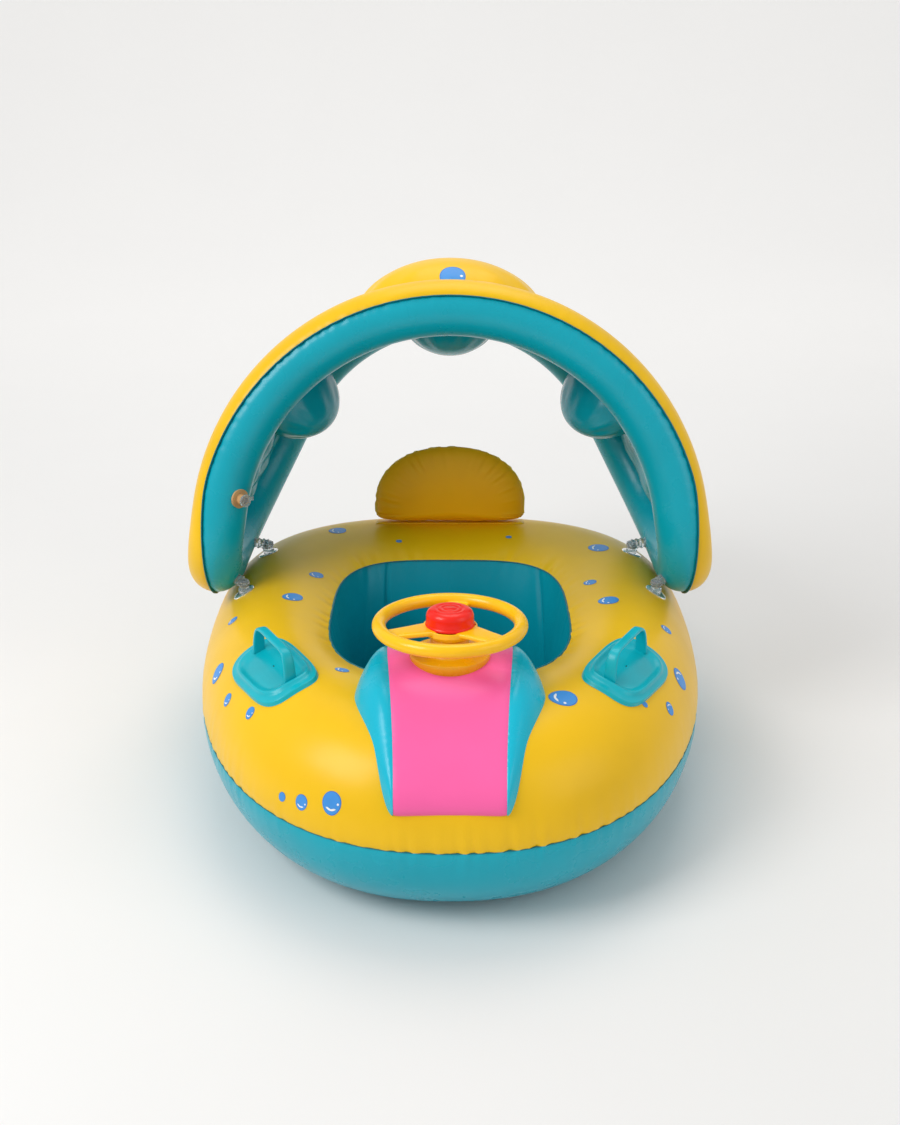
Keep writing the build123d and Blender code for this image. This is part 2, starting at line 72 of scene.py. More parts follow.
# Shape of the canopy's tube, as in the CAD part -------------------------------------------------
tube_radius = 0.031
front_arch_radius, rear_arch_radius = 0.266, 0.222
front_apex, rear_apex = (0.100, 0.513), (0.318, 0.469)
front_arch_angle, rear_arch_angle = radians(80), radians(64)
canopy_lean = radians(12)
end_point = np.array([0.276, 0.124, 0.205])
end_pulls = (0.076, 0.062, 0.105, 0.060)


# Mesh helpers ----------------------------------------------------------------------------------
def make_object(name, verts, faces, material_index=None):
    """A smooth-shaded mesh object from points and faces in the row frame."""
    mesh = bpy.data.meshes.new(name)
    mesh.from_pydata([tuple(v) for v in np.asarray(verts, float)], [], faces)
    mesh.validate()
    mesh.shade_smooth()
    if material_index is not None:
        mesh.polygons.foreach_set("material_index", np.asarray(material_index, np.int32))
    mesh.update()
    obj = bpy.data.objects.new(name, mesh)
    bpy.context.scene.collection.objects.link(obj)
    return obj


def grid_faces(rows, columns, wrap_rows=False, wrap_columns=False, flip=False, first=0):
    """Quads of a grid whose points are stored row by row."""
    faces = []
    for i in range(rows if wrap_rows else rows - 1):
        for j in range(columns if wrap_columns else columns - 1):
            a, b = i * columns + j, i * columns + (j + 1) % columns
            c = ((i + 1) % rows) * columns + (j + 1) % columns
            d = ((i + 1) % rows) * columns + j
            quad = (a, d, c, b) if flip else (a, b, c, d)
            faces.append(tuple(first + k for k in quad))
    return faces


def grid_object(name, points, wrap_rows=False, wrap_columns=False, flip=False, index_of=None):
    rows, columns = points.shape[:2]
    faces = grid_faces(rows, columns, wrap_rows, wrap_columns, flip)
    index = None
    if index_of is not None:
        index = [index_of(i, j) for i in range(rows if wrap_rows else rows - 1)
                 for j in range(columns if wrap_columns else columns - 1)]
    return make_object(name, points.reshape(-1, 3), faces, index)


def finish_piece(obj, body, slot, materials, *nodes):
    """Gives a piece its materials, its body, and the CAD nodes it stands for. The slot argument is not
    used.
    """
    for material in materials:
        obj.data.materials.append(material)
    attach(obj, body)
    if nodes:
        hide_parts(*nodes)
    return obj


def join(name, objects):
    """One object from several, with the first one's name changed."""
    bpy.ops.object.select_all(action="DESELECT")
    for obj in objects:
        obj.select_set(True)
    bpy.context.view_layer.objects.active = objects[0]
    bpy.ops.object.join()
    objects[0].name = name
    return objects[0]


def smooth_step(value, low, high):
    t = np.clip((value - low) / (high - low), 0, 1)
    return t * t * (3 - 2 * t)


def ripple(turns, counts, seed):
    """A smooth repeating wave between about -1 and 1 along a closed line, turns from 0 to 1."""
    local = np.random.default_rng(seed)
    total = np.zeros_like(turns)
    for count in counts:
        total += np.sin(2 * pi * count * turns + local.uniform(0, 2 * pi))
    swell = 0.65 + 0.35 * np.sin(2 * pi * 5 * turns + local.uniform(0, 2 * pi))
    return total / len(counts) ** 0.7 * swell


def lathe(name, profile, place, segments=96):
    """A turned solid: profile is (radius, height) pairs, and place maps local points to the row frame."""
    turns = np.linspace(0, 2 * pi, segments, endpoint=False)
    rows = [np.stack([r * np.cos(turns), r * np.sin(turns), np.full(segments, z)], -1)
            for r, z in profile]
    return grid_object(name, place(np.array(rows)), wrap_columns=True)


def rounded(profile, corners, steps=5):
    """A profile with chosen corners rounded: corners maps a point's index to a radius."""
    out = []
    for i, point in enumerate(profile):
        p = np.array(point, float)
        if i not in corners:
            out.append(tuple(p))
            continue
        before, after = np.array(profile[i - 1], float), np.array(profile[i + 1], float)
        a = p + (before - p) / np.linalg.norm(before - p) * corners[i]
        b = p + (after - p) / np.linalg.norm(after - p) * corners[i]
        for t in np.linspace(0, 1, steps + 1):
            out.append(tuple(a * (1 - t) ** 2 + p * 2 * t * (1 - t) + b * t ** 2))
    return out


def tree_of(obj):
    mesh = obj.data
    verts = [obj.matrix_world @ v.co for v in mesh.vertices]
    return BVHTree.FromPolygons(verts, [tuple(p.vertices) for p in mesh.polygons])


# Materials ----------------------------------------------------------------------------------------
def new_material(name):
    material = bpy.data.materials.new(name)
    material.use_nodes = True
    return material, material.node_tree.nodes, material.node_tree.links


def set_inputs(node, values):
    """Sets a shader node's constant inputs by name."""
    for name, value in values.items():
        node.inputs[name].default_value = value


def noise_node(nodes, links, coordinates, scale, detail=3.0):
    node = nodes.new("ShaderNodeTexNoise")
    set_inputs(node, {"Scale": scale, "Detail": detail})
    links.new(coordinates.outputs["Object"], node.inputs["Vector"])
    return node


def ramp(nodes, links, source, stops):
    node = nodes.new("ShaderNodeValToRGB")
    elements = node.color_ramp.elements
    while len(elements) < len(stops):
        elements.new(0.5)
    for element, (place, colour) in zip(elements, stops):
        element.position = place
        element.color = (*colour, 1)
    links.new(source, node.inputs["Fac"])
    return node


def film(name, colour, roughness=0.34, grain=0.012, dents=0.10, sheen=0.0, glow=0.0, coat=0.05):
    """Soft PVC film: colour that varies a little, fine grain, and soft dents from the air pressure."""
    material, nodes, links = new_material(name)
    shader = nodes["Principled BSDF"]
    place = nodes.new("ShaderNodeTexCoord")
    broad = noise_node(nodes, links, place, 9.0)
    shade = [tuple(c * k for c in colour) for k in (0.93, 1.0, 1.05)]
    tint = ramp(nodes, links, broad.outputs["Fac"], [(0.3, shade[0]), (0.5, shade[1]), (0.75, shade[2])])
    links.new(tint.outputs["Color"], shader.inputs["Base Color"])
    smear = noise_node(nodes, links, place, 28.0, 5.0)
    spread = nodes.new("ShaderNodeMapRange")
    set_inputs(spread, {"To Min": roughness - 0.05, "To Max": roughness + 0.07})
    links.new(smear.outputs["Fac"], spread.inputs["Value"])
    links.new(spread.outputs["Result"], shader.inputs["Roughness"])
    fine = noise_node(nodes, links, place, 900.0, 2.0)
    soft = noise_node(nodes, links, place, 22.0, 2.0)
    grain_bump = nodes.new("ShaderNodeBump")
    set_inputs(grain_bump, {"Strength": grain * 8, "Distance": 0.0002})
    links.new(fine.outputs["Fac"], grain_bump.inputs["Height"])
    dent_bump = nodes.new("ShaderNodeBump")
    set_inputs(dent_bump, {"Strength": dents, "Distance": 0.004})
    links.new(soft.outputs["Fac"], dent_bump.inputs["Height"])
    links.new(grain_bump.outputs["Normal"], dent_bump.inputs["Normal"])
    links.new(dent_bump.outputs["Normal"], shader.inputs["Normal"])
    set_inputs(shader, {"Specular IOR Level": 0.28, "Coat Weight": coat, "Coat Roughness": 0.22,
                        "Sheen Weight": sheen, "Subsurface Weight": glow,
                        "Subsurface Radius": (0.012, 0.008, 0.004), "Subsurface Scale": 0.4})
    return material


def moulded(name, colour, roughness=0.28, bump=0.05, scale=260.0, coat=0.3):
    """Moulded plastic with a faint skin texture and small changes of gloss."""
    material, nodes, links = new_material(name)
    shader = nodes["Principled BSDF"]
    place = nodes.new("ShaderNodeTexCoord")
    broad = noise_node(nodes, links, place, 35.0)
    tint = ramp(nodes, links, broad.outputs["Fac"],
                [(0.3, tuple(c * 0.94 for c in colour)), (0.7, tuple(c * 1.04 for c in colour))])
    links.new(tint.outputs["Color"], shader.inputs["Base Color"])
    spread = nodes.new("ShaderNodeMapRange")
    set_inputs(spread, {"To Min": roughness - 0.06, "To Max": roughness + 0.06})
    links.new(broad.outputs["Fac"], spread.inputs["Value"])
    links.new(spread.outputs["Result"], shader.inputs["Roughness"])
    fine = noise_node(nodes, links, place, scale, 3.0)
    skin = nodes.new("ShaderNodeBump")
    set_inputs(skin, {"Strength": bump, "Distance": 0.0004})
    links.new(fine.outputs["Fac"], skin.inputs["Height"])
    links.new(skin.outputs["Normal"], shader.inputs["Normal"])
    set_inputs(shader, {"Specular IOR Level": 0.35, "Coat Weight": coat, "Coat Roughness": 0.15})
    return material


def clear(name, colour, share=0.8):
    """Clear moulded PVC, a little cloudy, with a wavy skin."""
    material, nodes, links = new_material(name)
    shader = nodes["Principled BSDF"]
    place = nodes.new("ShaderNodeTexCoord")
    cloud = noise_node(nodes, links, place, 120.0)
    tint = ramp(nodes, links, cloud.outputs["Fac"],
                [(0.3, tuple(c * 0.9 for c in colour)), (0.7, colour)])
    links.new(tint.outputs["Color"], shader.inputs["Base Color"])
    skin = nodes.new("ShaderNodeBump")
    set_inputs(skin, {"Strength": 0.25, "Distance": 0.0006})
    links.new(cloud.outputs["Fac"], skin.inputs["Height"])
    links.new(skin.outputs["Normal"], shader.inputs["Normal"])
    set_inputs(shader, {"Roughness": 0.16, "Transmission Weight": share, "IOR": 1.5})
    return material


YELLOW = (0.84, 0.50, 0.003)
TEAL = (0.001, 0.36, 0.46)
PINK = (0.93, 0.125, 0.38)
ORANGE = (0.98, 0.47, 0.001)
AQUA = (0.002, 0.46, 0.62)

yellow_film = film("yellow_film", YELLOW, glow=0.05)
teal_film = film("teal_film", TEAL, roughness=0.27, coat=0.08)
# A darker copy of the teal film: painted shade for the inside of the seat well, used on its wall and sling.
painted_shade_well_film = film("painted_shade_well_film", (0.001, 0.30, 0.39), roughness=0.30)
web_film = film("web_film", (0.001, 0.30, 0.37), roughness=0.22, dents=0.14, coat=0.15)
pink_film = film("pink_film", PINK, roughness=0.36)
aqua_film = film("aqua_film", AQUA, roughness=0.26, coat=0.12)
orange_film = film("orange_film", ORANGE, roughness=0.42, glow=0.08)
weld_film = film("weld_film", (0.0, 0.16, 0.20), roughness=0.35)
yellow_weld = film("yellow_weld", (0.80, 0.56, 0.06), roughness=0.40)
handle_plastic = moulded("handle_plastic", (0.0, 0.42, 0.50), roughness=0.34, coat=0.08)
wheel_plastic = moulded("wheel_plastic", (0.98, 0.54, 0.002), roughness=0.25, coat=0.12)
base_plastic = moulded("base_plastic", (0.90, 0.44, 0.002), roughness=0.27, coat=0.12)
horn_plastic = moulded("horn_plastic", (0.90, 0.013, 0.004), roughness=0.30, coat=0.12)
reed_plastic = moulded("reed_plastic", (0.75, 0.75, 0.70))
clear_pvc = clear("clear_pvc", (0.86, 0.90, 0.92))
tan_pvc = clear("tan_pvc", (0.85, 0.50, 0.22), share=0.35)
print_blue = moulded("print_blue", (0.045, 0.27, 0.70), roughness=0.38, coat=0.1)
print_dark = moulded("print_dark", (0.025, 0.17, 0.55), roughness=0.38, coat=0.1)
print_white = moulded("print_white", (0.85, 0.86, 0.86), roughness=0.38, coat=0.1)
steel = moulded("steel", (0.6, 0.6, 0.62), roughness=0.3)
steel.node_tree.nodes["Principled BSDF"].inputs["Metallic"].default_value = 1.0


# Ring -----------------------------------------------------------------------------------------------
def egg(t, half_width, front, back, roundness, centre_y):
    """Points of an egg-shaped outline in plan. t is 0 at the front and a quarter turn at +X."""
    c, s = np.cos(t), np.sin(t)
    exponent = np.where(c >= 0, roundness[0], roundness[1])
    reach = np.where(c >= 0, front, back)
    x = half_width * np.sign(s) * np.abs(s) ** (2 / exponent)
    y = centre_y - reach * np.sign(c) * np.abs(c) ** (2 / exponent)
    return np.stack([x, y], -1)


def ring_line(t, inset):
    front_inset = inset * front_crest_inset / crest_inset
    return egg(t, ring_half_width - inset, front_reach - front_inset, back_reach - inset,
               (front_roundness, back_roundness), widest_y)


def well_line(t, inset):
    return egg(t, well_half_width - inset, well_front_reach - inset, well_back_reach - inset,
               well_roundness, well_centre_y)


def even_angles(line, count):
    """Angles that step evenly along an outline."""
    t = np.linspace(0, 2 * pi, 20001)
    points = line(t)
    walked = np.concatenate([[0], np.cumsum(np.linalg.norm(np.diff(points, axis=0), axis=1))])
    return np.interp(np.arange(count) / count * walked[-1], walked, t)


RING_STEPS = 560
ring_t = even_angles(lambda t: ring_line(t, 0.0), RING_STEPS)
well_t = even_angles(lambda t: well_line(t, 0.0), RING_STEPS)
ring_turns = np.arange(RING_STEPS) / RING_STEPS
seam_ripple = ripple(ring_turns, (83, 109, 137, 171), 3)
well_ripple = ripple(ring_turns, (31, 47, 64), 5)


def lift_points(line, z):
    return np.concatenate([line, np.broadcast_to(z, line.shape[:1])[:, None]], -1)


def ring_rows(upward):
    """Rows of points from the seam over the crest, and for the upper skin on to the well's edge."""
    rows = []
    rises = radians(90) * np.linspace(0, 1, 34) ** 1.35
    puckers = np.clip(seam_ripple, -1.4, 1.4)
    strength = 0.55 + 0.45 * np.cos(ring_t) ** 2
    for rise in rises:
        inset = crest_inset * (1 - cos(rise))
        from_seam = rise * (crest_inset + ring_mid) / 2
        line = ring_line(ring_t, inset)
        outward = ring_line(ring_t, inset - 0.001) - line
        outward /= np.maximum(np.linalg.norm(outward, axis=1, keepdims=True), 1e-9)
        pull = 0.0016 * np.exp(-from_seam / 0.004)
        pull = pull + 0.0014 * puckers * strength * np.exp(-from_seam / 0.017) * (1 if upward > 0 else 0.8)
        line = line - outward * (pull * cos(rise))[:, None]
        z = ring_mid + upward * (ring_mid * sin(rise) - pull * 0.3 * sin(rise))
        rows.append(lift_points(line, z))
    crest = ring_line(ring_t, crest_inset)
    edge = well_line(well_t, 0.0)
    for share in np.linspace(0, 1, 22)[1:]:
        line = crest + (edge - crest) * share
        if upward > 0:
            drop = (ring_height - well_edge_z) * share ** 2
            soft = 0.0008 * well_ripple * smooth_step(share, 0.6, 1.0)
            rows.append(lift_points(line, ring_height - drop - soft))
        else:
            rows.append(lift_points(line, 0.0022 * share ** 0.5))
    return np.array(rows)


upper_rows = ring_rows(1)
lower_rows = ring_rows(-1)
ring_top = grid_object("ring_top_film", upper_rows, wrap_columns=True)
ring_bottom = grid_object("ring_bottom_film", lower_rows, wrap_columns=True, flip=True)
finish_piece(ring_top, "float", "yellow_pvc", [yellow_film],
             *("ring_top_skin_" + gore for gore in GORES))
finish_piece(ring_bottom, "float", "teal_pvc", [teal_film], "ring_seam_weld",
             *("ring_bottom_skin_" + gore for gore in GORES))
ring_tree = tree_of(ring_top)

# The wall creases where the flat sheet is forced round the back corners, and has one back seam.
WALL_CREASES = ((-0.077, 0.0042, 0.0022), (-0.101, 0.0012, 0.0045), (0.109, 0.0044, 0.0022),
                (0.124, 0.0010, 0.0045), (0.0, 0.0005, 0.0016))


def make_wall():
    rows = []
    for share in np.linspace(0, 1, 40):
        z = well_edge_z - (well_edge_z - 0.003) * share
        swell = well_bulge * sin(pi * max(z, 0) / well_edge_z)
        line = well_line(well_t, swell)
        inward = well_line(well_t, swell + 0.001) - line
        inward /= np.maximum(np.linalg.norm(inward, axis=1, keepdims=True), 1e-9)
        groove = np.zeros(RING_STEPS)
        at_back = smooth_step(line[:, 1], 0.03, 0.08)
        for x, depth, width in WALL_CREASES:
            bend = x * (1 + 0.06 * share)
            fade = 0.35 + 0.65 * sin(pi * min(1, share * 1.15 + 0.05))
            groove += at_back * depth * fade * np.exp(-((line[:, 0] - bend) / width) ** 2)
        groove += 0.0007 * well_ripple * np.exp(-share / 0.08)
        panel = np.sin(pi * np.clip((line[:, 0] + 0.077) / 0.186, 0, 1)) ** 0.5
        groove -= 0.0028 * at_back * sin(pi * share) * panel
        rows.append(lift_points(line - inward * groove[:, None], z))
    wall = grid_object("seat_wall_film", np.array(rows), wrap_columns=True)
    # The wall takes the darker teal film, which paints the shade inside the well.
    finish_piece(wall, "float", "teal_pvc", [painted_shade_well_film],
                 *("seat_wall_" + gore for gore in GORES))


def make_sling():
    """The sheet that the child sits on, sagging between its edge and two leg holes."""
    edge = well_line(even_angles(lambda t: well_line(t, 0.003), 160), 0.002)
    turns = np.linspace(0, 2 * pi, 72, endpoint=False)
    holes = [np.stack([side * 0.056 + 0.046 * np.cos(turns), -0.048 + 0.060 * np.sin(turns)], -1)
             for side in (-1, 1)]
    xs, ys = np.meshgrid(np.arange(-0.132, 0.133, 0.007), np.arange(-0.158, 0.158, 0.007))
    inner = np.stack([xs.ravel(), ys.ravel()], -1)

    def in_hole(p, grow):
        return any(((p[0] - s * 0.056) / (0.046 * grow)) ** 2 + ((p[1] + 0.048) / (0.060 * grow)) ** 2 < 1
                   for s in (-1, 1))

    def in_well(p, shrink):
        reach = (well_front_reach if p[1] < well_centre_y else well_back_reach) * shrink
        power = well_roundness[0] if p[1] < well_centre_y else well_roundness[1]
        return (abs(p[0]) / (well_half_width * shrink)) ** power + (
            abs(p[1] - well_centre_y) / reach) ** power < 1

    inner = [p for p in inner if in_well(p, 0.955) and not in_hole(p, 1.08)]
    points, edges = [], []
    for loop in (edge, *holes):
        first = len(points)
        points += [Vector(p) for p in loop]
        edges += [(first + i, first + (i + 1) % len(loop)) for i in range(len(loop))]
    points += [Vector(p) for p in inner]
    flat, _, faces, *_ = delaunay_2d_cdt(points, edges, [], 0, 1e-6)
    kept = []
    for face in faces:
        middle = np.mean([flat[i] for i in face], axis=0)
        if in_well(middle, 1.001) and not in_hole(middle, 1.0):
            kept.append(tuple(face))
    verts = []
    for p in flat:
        reach = np.hypot(p.x / 0.13, (p.y - well_centre_y) / 0.158)
        sag = 0.009 * max(0.0, 1 - reach ** 2)
        wave = 0.0006 * sin(p.x * 190) * sin(p.y * 150)
        verts.append((p.x, p.y, 0.0155 - sag + wave))
    sling = make_object("seat_sling_film", verts, kept)
    solid = sling.modifiers.new("thickness", "SOLIDIFY")
    solid.thickness = 0.0012
    # The sling takes the darker teal film, which paints the shade at the bottom of the well.
    finish_piece(sling, "float", "teal_pvc", [painted_shade_well_film], "seat_sling")
    hems = []
    for k, hole in enumerate(holes):
        rows = []
        for a in np.linspace(0, 2 * pi, 10, endpoint=False):
            centre = np.array([(-1, 1)[k] * 0.056, -0.048])
            out = (hole - centre) / np.linalg.norm(hole - centre, axis=1, keepdims=True)
            line = hole + out * (0.0022 * cos(a))
            reach = np.hypot(hole[:, 0] / 0.13, (hole[:, 1] - well_centre_y) / 0.158)
            z = 0.0155 - 0.009 * np.maximum(0, 1 - reach ** 2) + 0.0016 * sin(a)
            rows.append(np.concatenate([line, z[:, None]], -1))
        hems.append(grid_object("hem_%d" % k, np.array(rows), True, True))
    finish_piece(join("leg_hole_hems", hems), "float", "weld_pvc", [weld_film])


make_wall()
make_sling()


def weld_line(name, path, radius, material, body, slot, closed=True, flat=0.5):
    """A thin welded bead along a path, a little flattened."""
    path = np.asarray(path)
    if closed:
        way = np.roll(path, -1, 0) - np.roll(path, 1, 0)
    else:
        way = np.gradient(path, axis=0)
    way /= np.linalg.norm(way, axis=1, keepdims=True)
    side = np.cross(way, (0, 0, 1.0))
    side /= np.maximum(np.linalg.norm(side, axis=1, keepdims=True), 1e-9)
    rise = np.cross(side, way)
    rows = [path + side * (radius * cos(a)) + rise * (radius * flat * sin(a))
            for a in np.linspace(0, 2 * pi, 8, endpoint=False)]
    bead = grid_object(name, np.array(rows), True, closed, flip=True)
    return finish_piece(bead, body, slot, [material])


seam_path = lift_points(ring_line(ring_t, 0.0016), ring_mid - 0.0004 + 0.0005 * seam_ripple)
weld_line("ring_seam_bead", seam_path, 0.0010, weld_film, "float", "weld_pvc")
edge_path = lift_points(well_line(well_t, 0.0004), well_edge_z + 0.0002)
weld_line("well_edge_bead", edge_path, 0.0012, weld_film, "float", "weld_pvc")


# Console --------------------------------------------------------------------------------------------
CONSOLE_PIVOT = (-0.240, 0.160)
CONSOLE_SHAPE = np.array([(0.090, 0.010), (0.098, 0.042), (0.076, 0.064), (0.040, 0.071),
                          (-0.020, 0.060), (-0.062, 0.031), (-0.091, 0.008), (-0.105, -0.016),
                          (-0.060, -0.040), (0.040, -0.030)])
STRIP_HALF_WIDTH = 0.057
STRIP_BACK_HALF, STRIP_FRONT_HALF = 0.0635, 0.0520
CONSOLE_HALF_WIDTH = 0.092


def closed_spline(points, count):
    """A smooth closed curve through the points, sampled evenly in its own parameter."""
    n = len(points)
    chord = np.linalg.norm(np.roll(points, -1, 0) - points, axis=1)
    system, right_side = np.zeros((n, n)), np.zeros((n, 2))
    for i in range(n):
        before, after = chord[i - 1], chord[i]
        system[i, i - 1] += before
        system[i, i] += 2 * (before + after)
        system[i, (i + 1) % n] += after
        right_side[i] = 6 * ((points[(i + 1) % n] - points[i]) / after
                             - (points[i] - points[i - 1]) / before)
    second = np.linalg.solve(system, right_side)
    knots = np.concatenate([[0], np.cumsum(chord)])
    out = []
    for s in np.linspace(0, knots[-1], count, endpoint=False):
        i = min(int(np.searchsorted(knots, s, side="right")) - 1, n - 1)
        h, a, b = chord[i], knots[i + 1] - s, s - knots[i]
        j = (i + 1) % n
        out.append((second[i] * a ** 3 + second[j] * b ** 3) / (6 * h)
                   + (points[i] / h - second[i] * h / 6) * a + (points[j] / h - second[j] * h / 6) * b)
    return np.array(out)


console_curve = closed_spline(CONSOLE_SHAPE, 220)
console_turns = np.arange(220) / 220
stitch = ripple(console_turns, (53, 71, 97), 11)


def console_row(share, pinch, length_scale, height_scale, beyond=0.0):
    """One section of the console. share is across the strip, and beyond is how far past its edge.

    pinch pulls the section in at a seam, in metres."""
    size = np.linalg.norm(console_curve, axis=1)
    pulled = console_curve * (1 - pinch / size)[:, None]
    y = CONSOLE_PIVOT[0] + pulled[:, 0] * length_scale
    z = CONSOLE_PIVOT[1] + pulled[:, 1] * height_scale
    to_front = smooth_step(-y, 0.150, 0.345)
    half = STRIP_BACK_HALF + (STRIP_FRONT_HALF - STRIP_BACK_HALF) * to_front
    front, back = console_curve[:, 0].min(), console_curve[:, 0].max()
    reach = y - CONSOLE_PIVOT[0]
    lens = np.clip(1 - (reach / np.where(reach < 0, front, back)) ** 2, 0, 1) ** 0.5
    return np.stack([share * half + np.sign(share) * beyond * lens, y, z], -1)


def make_console():
    rows = []
    for share in np.linspace(-1, 1, 49):
        to_seam = STRIP_HALF_WIDTH * (1 - abs(share))
        pinch = 0.0013 * np.exp(-to_seam / 0.003) + 0.0003 * stitch * np.exp(-to_seam / 0.007)
        rows.append(console_row(share, pinch, 1.0, 1.0 - 0.01 * share ** 2))
    strip = grid_object("console_strip_film", np.array(rows), wrap_columns=True)
    finish_piece(strip, "float", "pink_pvc", [pink_film], "console_strip")
    for side, name in ((-1, "right"), (1, "left")):
        rows = []
        for angle in np.linspace(0, pi / 2, 44):
            out = sin(angle)
            beyond = (CONSOLE_HALF_WIDTH - STRIP_HALF_WIDTH) * out
            length_scale = 0.06 + 0.94 * (1 - out ** 2.1) ** 0.5
            height_scale = 0.99 - 0.47 * out ** 2.6
            pinch = 0.0013 * np.exp(-beyond / 0.003)
            pinch = pinch + 0.0006 * stitch * np.exp(-beyond / 0.006)
            rows.append(console_row(side, pinch, length_scale, height_scale, beyond))
        part = grid_object("console_side_" + name + "_film", np.array(rows), wrap_columns=True,
                           flip=side < 0)
        finish_piece(part, "float", "teal_pvc", [aqua_film], "console_side_" + name)


make_console()


# Steering -------------------------------------------------------------------------------------------
column_lean = radians(3.4)
column_foot = np.array([0.0, -0.200, 0.231])


def on_column(points):
    """Local points, with +Z up the steering column from the console's top, in the row frame."""
    points = np.asarray(points, float)
    x, y, z = points[..., 0], points[..., 1], points[..., 2]
    turned = np.stack([x, y * cos(column_lean) + z * sin(column_lean),
                       z * cos(column_lean) - y * sin(column_lean)], -1)
    return turned + column_foot


def mm(*pairs):
    return [(r / 1000, z / 1000) for r, z in pairs]


def make_steering():
    base = rounded(mm((0.01, -8), (40, -8), (40, 3.2), (27, 5.0), (26, 9.4), (19.4, 10.2), (19, 19.5),
                      (6, 19.5), (6, 24.7), (0.01, 24.7)),
                   {2: 0.0012, 3: 0.003, 4: 0.0015, 5: 0.0025, 6: 0.001})
    finish_piece(lathe("steering_base_moulding", base, on_column), "float", "wheel_plastic",
                 [base_plastic], "steering_base")

    rim = []
    for a in np.linspace(0, 2 * pi, 160, endpoint=False):
        section = [((0.0697 + 0.0068 * cos(b)) * cos(a), (0.0697 + 0.0068 * cos(b)) * sin(a),
                    0.032 + 0.0068 * sin(b)) for b in np.linspace(0, 2 * pi, 28, endpoint=False)]
        rim.append(section)
    parts = [grid_object("rim", on_column(np.array(rim)), True, True, flip=True)]
    for angle in (82, 201, 321):
        rows = []
        for share in np.linspace(0, 1, 26):
            along = 0.019 + (0.0697 - 0.019) * share
            half = 0.0150 + (0.0085 - 0.0150) * share + 0.0030 * share ** 8
            thick = 0.0026
            section = []
            for b in np.linspace(0, 2 * pi, 32, endpoint=False):
                u = half * np.sign(cos(b)) * abs(cos(b)) ** 0.35
                v = thick * np.sign(sin(b)) * abs(sin(b)) ** 0.5
                a = radians(angle)
                section.append((along * cos(a) - u * sin(a), along * sin(a) + u * cos(a), 0.0295 + v))
            rows.append(section)
        spoke = grid_object("spoke", on_column(np.array(rows)), wrap_columns=True)
        bpy.context.view_layer.objects.active = spoke
        for end in (0, len(rows) - 1):
            ring = [end * 32 + j for j in range(32)]
            spoke.data.update()
            cap = ring if end == 0 else ring[::-1]
            mesh = spoke.data
            faces = [tuple(p.vertices) for p in mesh.polygons] + [tuple(cap)]
            verts = [v.co.copy() for v in mesh.vertices]
            mesh.clear_geometry()
            mesh.from_pydata(verts, [], faces)
        parts.append(spoke)
    hub = rounded(mm((7.2, 22.8), (7.2, 20.1), (20.5, 20.1), (20.5, 23.1), (27, 24.9), (27, 31.5),
                     (25.2, 31.5), (25.2, 24.5), (7.2, 24.5)),
                  {3: 0.0012, 4: 0.0012, 5: 0.0007, 6: 0.0006})
    parts.append(lathe("hub", hub + [hub[0]], on_column, 128))
    wheel = join("steering_wheel_moulding", parts)
    remesh = wheel.modifiers.new("blend", "REMESH")
    remesh.mode = "VOXEL"
    remesh.voxel_size = 0.0008
    soften = wheel.modifiers.new("soften", "SMOOTH")
    soften.factor = 0.5
    soften.iterations = 4
    bake_modifiers(wheel)
    finish_piece(wheel, "wheel", "wheel_plastic", [wheel_plastic], "steering_wheel")

    horn = rounded(mm((0.01, 45.0), (21.5, 45.0), (21.8, 31.0), (24.3, 31.0), (24.3, 33.1), (23.5, 34.1),
                      (23.3, 48.4), (13.0, 48.9), (12.2, 48.4), (11.4, 48.9), (7.6, 49.1), (6.8, 48.6),
                      (6.0, 49.1), (0.01, 49.2)),
                   {3: 0.0004, 4: 0.0006, 5: 0.0006, 6: 0.0082}, steps=9)
    finish_piece(lathe("horn_cap", horn, on_column, 128), "horn", "horn_plastic", [horn_plastic],
                 "horn_button")


def bake_modifiers(obj):
    """Replaces an object's mesh with what its modifiers make of it."""
    bpy.context.view_layer.update()
    made = bpy.data.meshes.new_from_object(obj.evaluated_get(bpy.context.evaluated_depsgraph_get()))
    obj.modifiers.clear()
    obj.data = made
    obj.data.shade_smooth()


make_steering()


